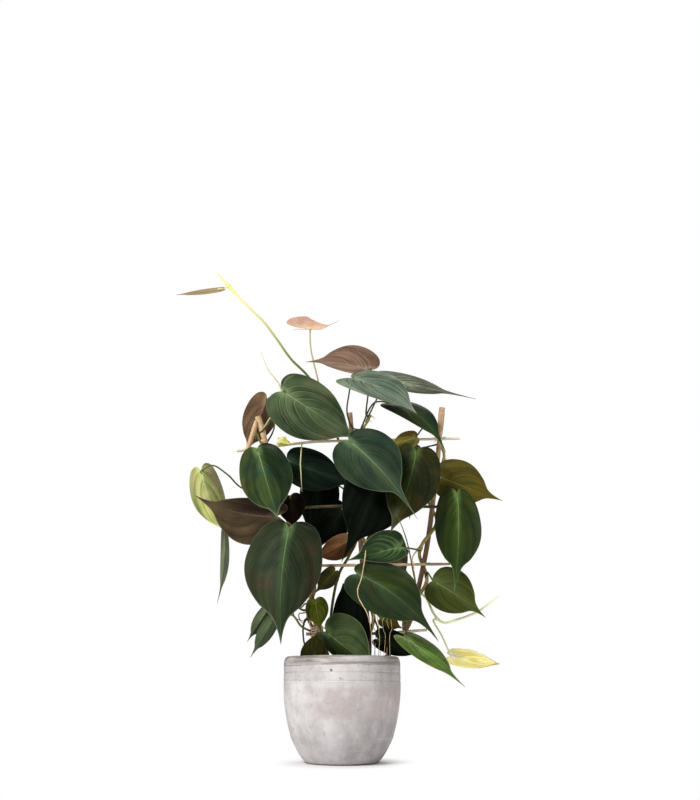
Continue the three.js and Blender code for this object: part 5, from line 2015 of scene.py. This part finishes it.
@dataclass(frozen=True)
class Root:
    """One root or tendril: the stem it leaves and where, its places, and how thick it is."""

    name: str
    finish: Fibre
    radius: float
    places: tuple[Uvy, ...]
    stem: str | None = None
    start: Uv = (0.0, 0.0)
    slot: str = "stem"


ROOTS = [
    Root(
        "tan", Fibre.ROOT, 0.62,
        (
            (366, 541, -26), (366, 547, -48), (365.4, 554, -62), (364, 564, -72), (361.4, 578, -97),
            (357.8, 589, -100), (358.4, 597, -101), (362.6, 605, -101), (367, 613, -96), (369.5, 622, -72),
            (372, 636, -50), (375, 650, -38), (376, 657, -36),
        ),
        "middle", (362, 528),
    ),
    Root(
        "hanging", Fibre.TENDRIL, 0.85,
        (
            (302, 443, 0.6), (301.6, 447, -10), (301, 454, -20), (300.4, 464, -21), (301, 474, -21),
            (301.5, 485, -20), (302, 492, -14),
        ),
    ),
    Root(
        "reaching", Fibre.TENDRIL, 1.0,
        ((276, 408, 0), (282, 398, -8), (279, 384, -14), (269, 371, -12), (263, 358, -10), (261, 352, -9)),
        "left", (268, 416),
    ),
    Root(
        "pale_low", Fibre.ROOT, 0.9,
        ((412.6, 557, -4), (413.4, 566, -7), (415, 578, -8), (416.8, 590, -7), (417.4, 598, -4)), "right",
        (414, 546),
    ),
    Root(
        "green_stalk", Fibre.STALK, 0.9,
        (
            (416, 590, -10), (412.4, 568, -18), (409, 550, -30), (405, 535, -46), (400, 522, -62),
            (396, 514, -70),
        ),
        "right", (418, 604),
    ),
    Root(
        "maroon_left", Fibre.RED_ROOT, 0.95,
        ((302, 607, -6), (296, 609, -11), (293.4, 614, -13), (297, 619, -13), (303, 620.5, -11)), "left",
        (309, 604),
    ),
    Root(
        "maroon_low", Fibre.RED_ROOT, 0.8,
        ((304, 613, -8), (299, 614, -11), (300, 620, -12), (305, 625, -11)), "left", (310, 610),
    ),
]


@dataclass
class Roots:
    """Air roots, pale tendrils, fine rootlets at the joints, and the raffia on the left post."""

    stems: Stems
    bars: BarMaker
    fine_radius: float = 0.38
    raffia_radius: float = 0.85
    raffia_turns: int = 9
    old_stems: tuple[str, ...] = ("left", "middle", "right")

    def root(self, plan: Root) -> Piece:
        """One root, thinned to its tip."""
        way = FrontView.points(plan.places)
        start = self.stems.budding(plan.stem, plan.start, way[0]) if plan.stem else []
        line = evenly([*start, *way], 1.2)
        share = np.linspace(0, 1, len(line))
        radius = plan.radius * np.interp(share, [0, 0.1, 0.7, 1], [1.3, 1.0, 0.85, 0.35])
        strand, name = Strand(line, radius), plan.name
        mesh = self.bars.make("root_" + name, [strand], plan.finish, 8, 0.3, 420.0, len(name))
        return settle("air_root_" + name, mesh)

    def hanging(self) -> Piece:
        """Thin roots that hang from the middle stem down to the soil."""
        draw = np.random.default_rng(11)
        strands = []
        for u, top, depth in (
            (374.5, 600, -12), (378, 606, -20), (380.6, 598, -8), (384, 612, -26), (388.4, 604, -16),
            (391, 611, -30),
        ):
            places = [
                FrontView.at(u + draw.uniform(-1.6, 1.6), v, depth + draw.uniform(-2, 2))
                for v in range(top, 644, 9)
            ]
            foot = FrontView.at(u - 2 + draw.uniform(-2, 2), 662, depth * 0.6)
            foot[2] = self.stems.soil_top - 1.0
            start = self.stems.budding("middle", (366, top - 8), places[0])
            line = evenly([*start, *places, foot], 1.5)
            strands.append(Strand(line, np.full(len(line), self.fine_radius * draw.uniform(0.8, 1.3))))
        mesh = self.bars.make("fine_roots", strands, Fibre.ROOT, 6, 0.15, 500.0)
        return settle("fine_roots", mesh)

    def rootlets(self) -> Piece:
        """Tufts of short rootlets at the joints of the old stems."""
        draw = np.random.default_rng(5)
        strands = []
        for name in self.old_stems:
            for bud in self.stems.buds[name]:
                out = unit_vector(bud - self.stems.trellis.on_post(name, float(bud[2])))
                for _ in range(int(draw.integers(2, 5))):
                    aim = unit_vector(out + draw.normal(0, 0.5, 3))
                    reach = draw.uniform(3, 9)
                    sag = np.array([0, 0, -draw.uniform(0.15, 0.6) * reach])
                    knee = bud + aim * reach * 0.5 + draw.normal(0, 0.5, 3)
                    line = evenly([bud + aim, knee, bud + aim * reach + sag], 1.0)
                    strands.append(Strand(line, self.fine_radius * np.linspace(1.1, 0.5, len(line))))
        mesh = self.bars.make("rootlets", strands, Fibre.ROOT, 5, 0.15, 500.0)
        return settle("joint_rootlets", mesh)

    def clinging(self) -> Piece:
        """Dry roots that run along the old stems and wander round them."""
        draw = np.random.default_rng(23)
        strands = []
        for name in self.old_stems:
            line = self.stems.lines[name]
            line = line[line[:, 2] > self.stems.soil_top + 6]
            for _ in range(4):
                low = int(draw.integers(0, len(line) // 3))
                high = int(draw.integers(2 * len(line) // 3, len(line) - 2))
                path, phase = line[low:high:4], draw.uniform(0, TURN)
                pace, size = draw.uniform(0.12, 0.3), draw.uniform(0.35, 0.75)
                places = np.arange(len(path))
                angle, reach = phase + pace * places, 1.9 + 0.5 * np.sin(0.7 * places + phase)
                shift = np.column_stack([np.cos(angle) * reach, np.sin(angle) * reach, np.zeros(len(path))])
                strand = evenly(path + shift, 1.6)
                share = np.linspace(0, 1, len(strand))
                ends = np.minimum(1, 6 * np.minimum(share, np.linspace(1, 0, len(strand))))
                strands.append(Strand(strand, size * (0.4 + 0.6 * ends)))
        mesh = self.bars.make("clinging_roots", strands, Fibre.DRY_ROOT, 6, 0.3, 380.0)
        return settle("clinging_roots", mesh)

    def raffia(self) -> Piece:
        """Raffia wound round the left post and the bottom rung."""
        x, y, z = self.stems.trellis.crossing("bottom", "left")
        angles = np.linspace(0, 2 * math.pi, 33)
        strands = []
        for n in range(self.raffia_turns):
            ring = np.column_stack([
                x + (7.4 + 0.4 * math.sin(2.1 * n)) * np.cos(angles),
                y + 1.6 + 11.0 * np.sin(angles),
                z - 4.0 + 1.5 * n + 1.6 * (-1) ** n * np.cos(angles),
            ])
            strands.append(Strand(ring, np.full(len(ring), self.raffia_radius)))
        for tail in (
            [(318, 630, -6.0), (323, 627.5, -8.0), (327, 631, -9.0), (329, 637, -9.0)],
            [(312, 629, -6.0), (309.6, 624, -8.0), (311, 618, -9.0)],
        ):
            line = evenly(FrontView.points(tail), 1.2)
            strands.append(Strand(line, self.raffia_radius * np.linspace(1, 0.6, len(line))))
        mesh = self.bars.make("raffia", strands, Fibre.RAFFIA, 6, 0.2, 300.0)
        return settle("raffia_wrap", mesh)

    def build(self) -> None:
        """Makes every root, tendril and wrap."""
        for plan in ROOTS:
            self.root(plan)
        self.hanging()
        self.rootlets()
        self.clinging()
        self.raffia()


# The room


class Studio:
    """A pale floor that fades into a white room, with soft lights."""

    def floor(self) -> Piece:
        """The floor, just below the foot, which glows white away from the pot."""
        mesh, size = bpy.data.meshes.new("floor"), 6.0
        corners = [(-size, -size, 0), (size, -size, 0), (size, size, 0), (-size, size, 0)]
        mesh.from_pydata(corners, [], [(0, 1, 2, 3)])
        material = bpy.data.materials.new("pale_floor")
        material.use_nodes = True
        w, nodes = Wiring(material.node_tree), material.node_tree.nodes
        shader = nodes["Principled BSDF"]
        w.feed(shader, {"Base Color": (0.9, 0.9, 0.9, 1.0), "Roughness": 0.8, "Specular IOR Level": 0.1})
        spot = w.node("ShaderNodeTexCoord").outputs["Object"]
        far = w.node("ShaderNodeVectorMath", {0: spot}, operation="LENGTH").outputs["Value"]
        light = w.out("ShaderNodeEmission", {"Color": WHITE, "Strength": 1.0})
        mixed = w.out("ShaderNodeMixShader", {0: w.fit(far, 0.046, 0.09), 1: shader.outputs[0], 2: light})
        w.feed(nodes["Material Output"], {"Surface": mixed})
        mesh.materials.append(material)
        floor = placed("floor", mesh)
        return floor

    def light(self, name: str, place: Uvy, aim: Uvy, size: float, power: float) -> Piece:
        """One soft square light.

        Args:
            name: Its name.
            place: Where it stands, in metres.
            aim: What it points at.
            size: Its side.
            power: Its power in watts.

        Returns:
            The light.
        """
        data = bpy.data.lights.new(name, "AREA")
        data.size, data.energy = size, power
        lamp = placed(name, data)
        lamp.location = place
        lamp.rotation_euler = (Vector(aim) - Vector(place)).to_track_quat("-Z", "Y").to_euler()
        return lamp

    def room(self) -> None:
        """The white room: bright to the eye, softer as a light."""
        world = bpy.data.worlds.new("white_room")
        world.use_nodes = True
        w = Wiring(world.node_tree)
        seen = w.node("ShaderNodeLightPath").outputs["Is Camera Ray"]
        strength = w.fit(seen, 0.0, 1.0, 0.4, 1.0, soft=False)
        w.feed(world.node_tree.nodes["Background"], {"Color": WHITE, "Strength": strength})
        bpy.context.scene.world = world

    def build(self) -> None:
        """Sets the floor, the room and the lights."""
        bpy.context.scene.view_settings.view_transform = "Standard"
        self.floor()
        self.room()
        self.light("key_light", (-1.3, -1.5, 1.7), (0.0, 0.0, 0.3), 0.9, 46.0)
        self.light("fill_light", (1.5, -1.3, 0.8), (0.0, 0.0, 0.3), 1.6, 7.0)
        self.light("back_light", (0.3, 1.4, 1.6), (0.0, 0.0, 0.35), 1.0, 14.0)


def main() -> None:
    """Builds the dressed plant around its solids."""
    logging.basicConfig(level=logging.INFO, format="%(name)s %(message)s")
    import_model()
    FrontView.camera()
    Studio().build()
    bars = BarMaker()
    pot = PlanterPot()
    pot.build()
    trellis = Trellis(bars)
    trellis.build()
    stems = Stems(trellis, bars, pot.soil_top)
    Foliage(stems, bars).build()
    Roots(stems, bars).build()
    stems.build()


if __name__ == "__main__":
    main()
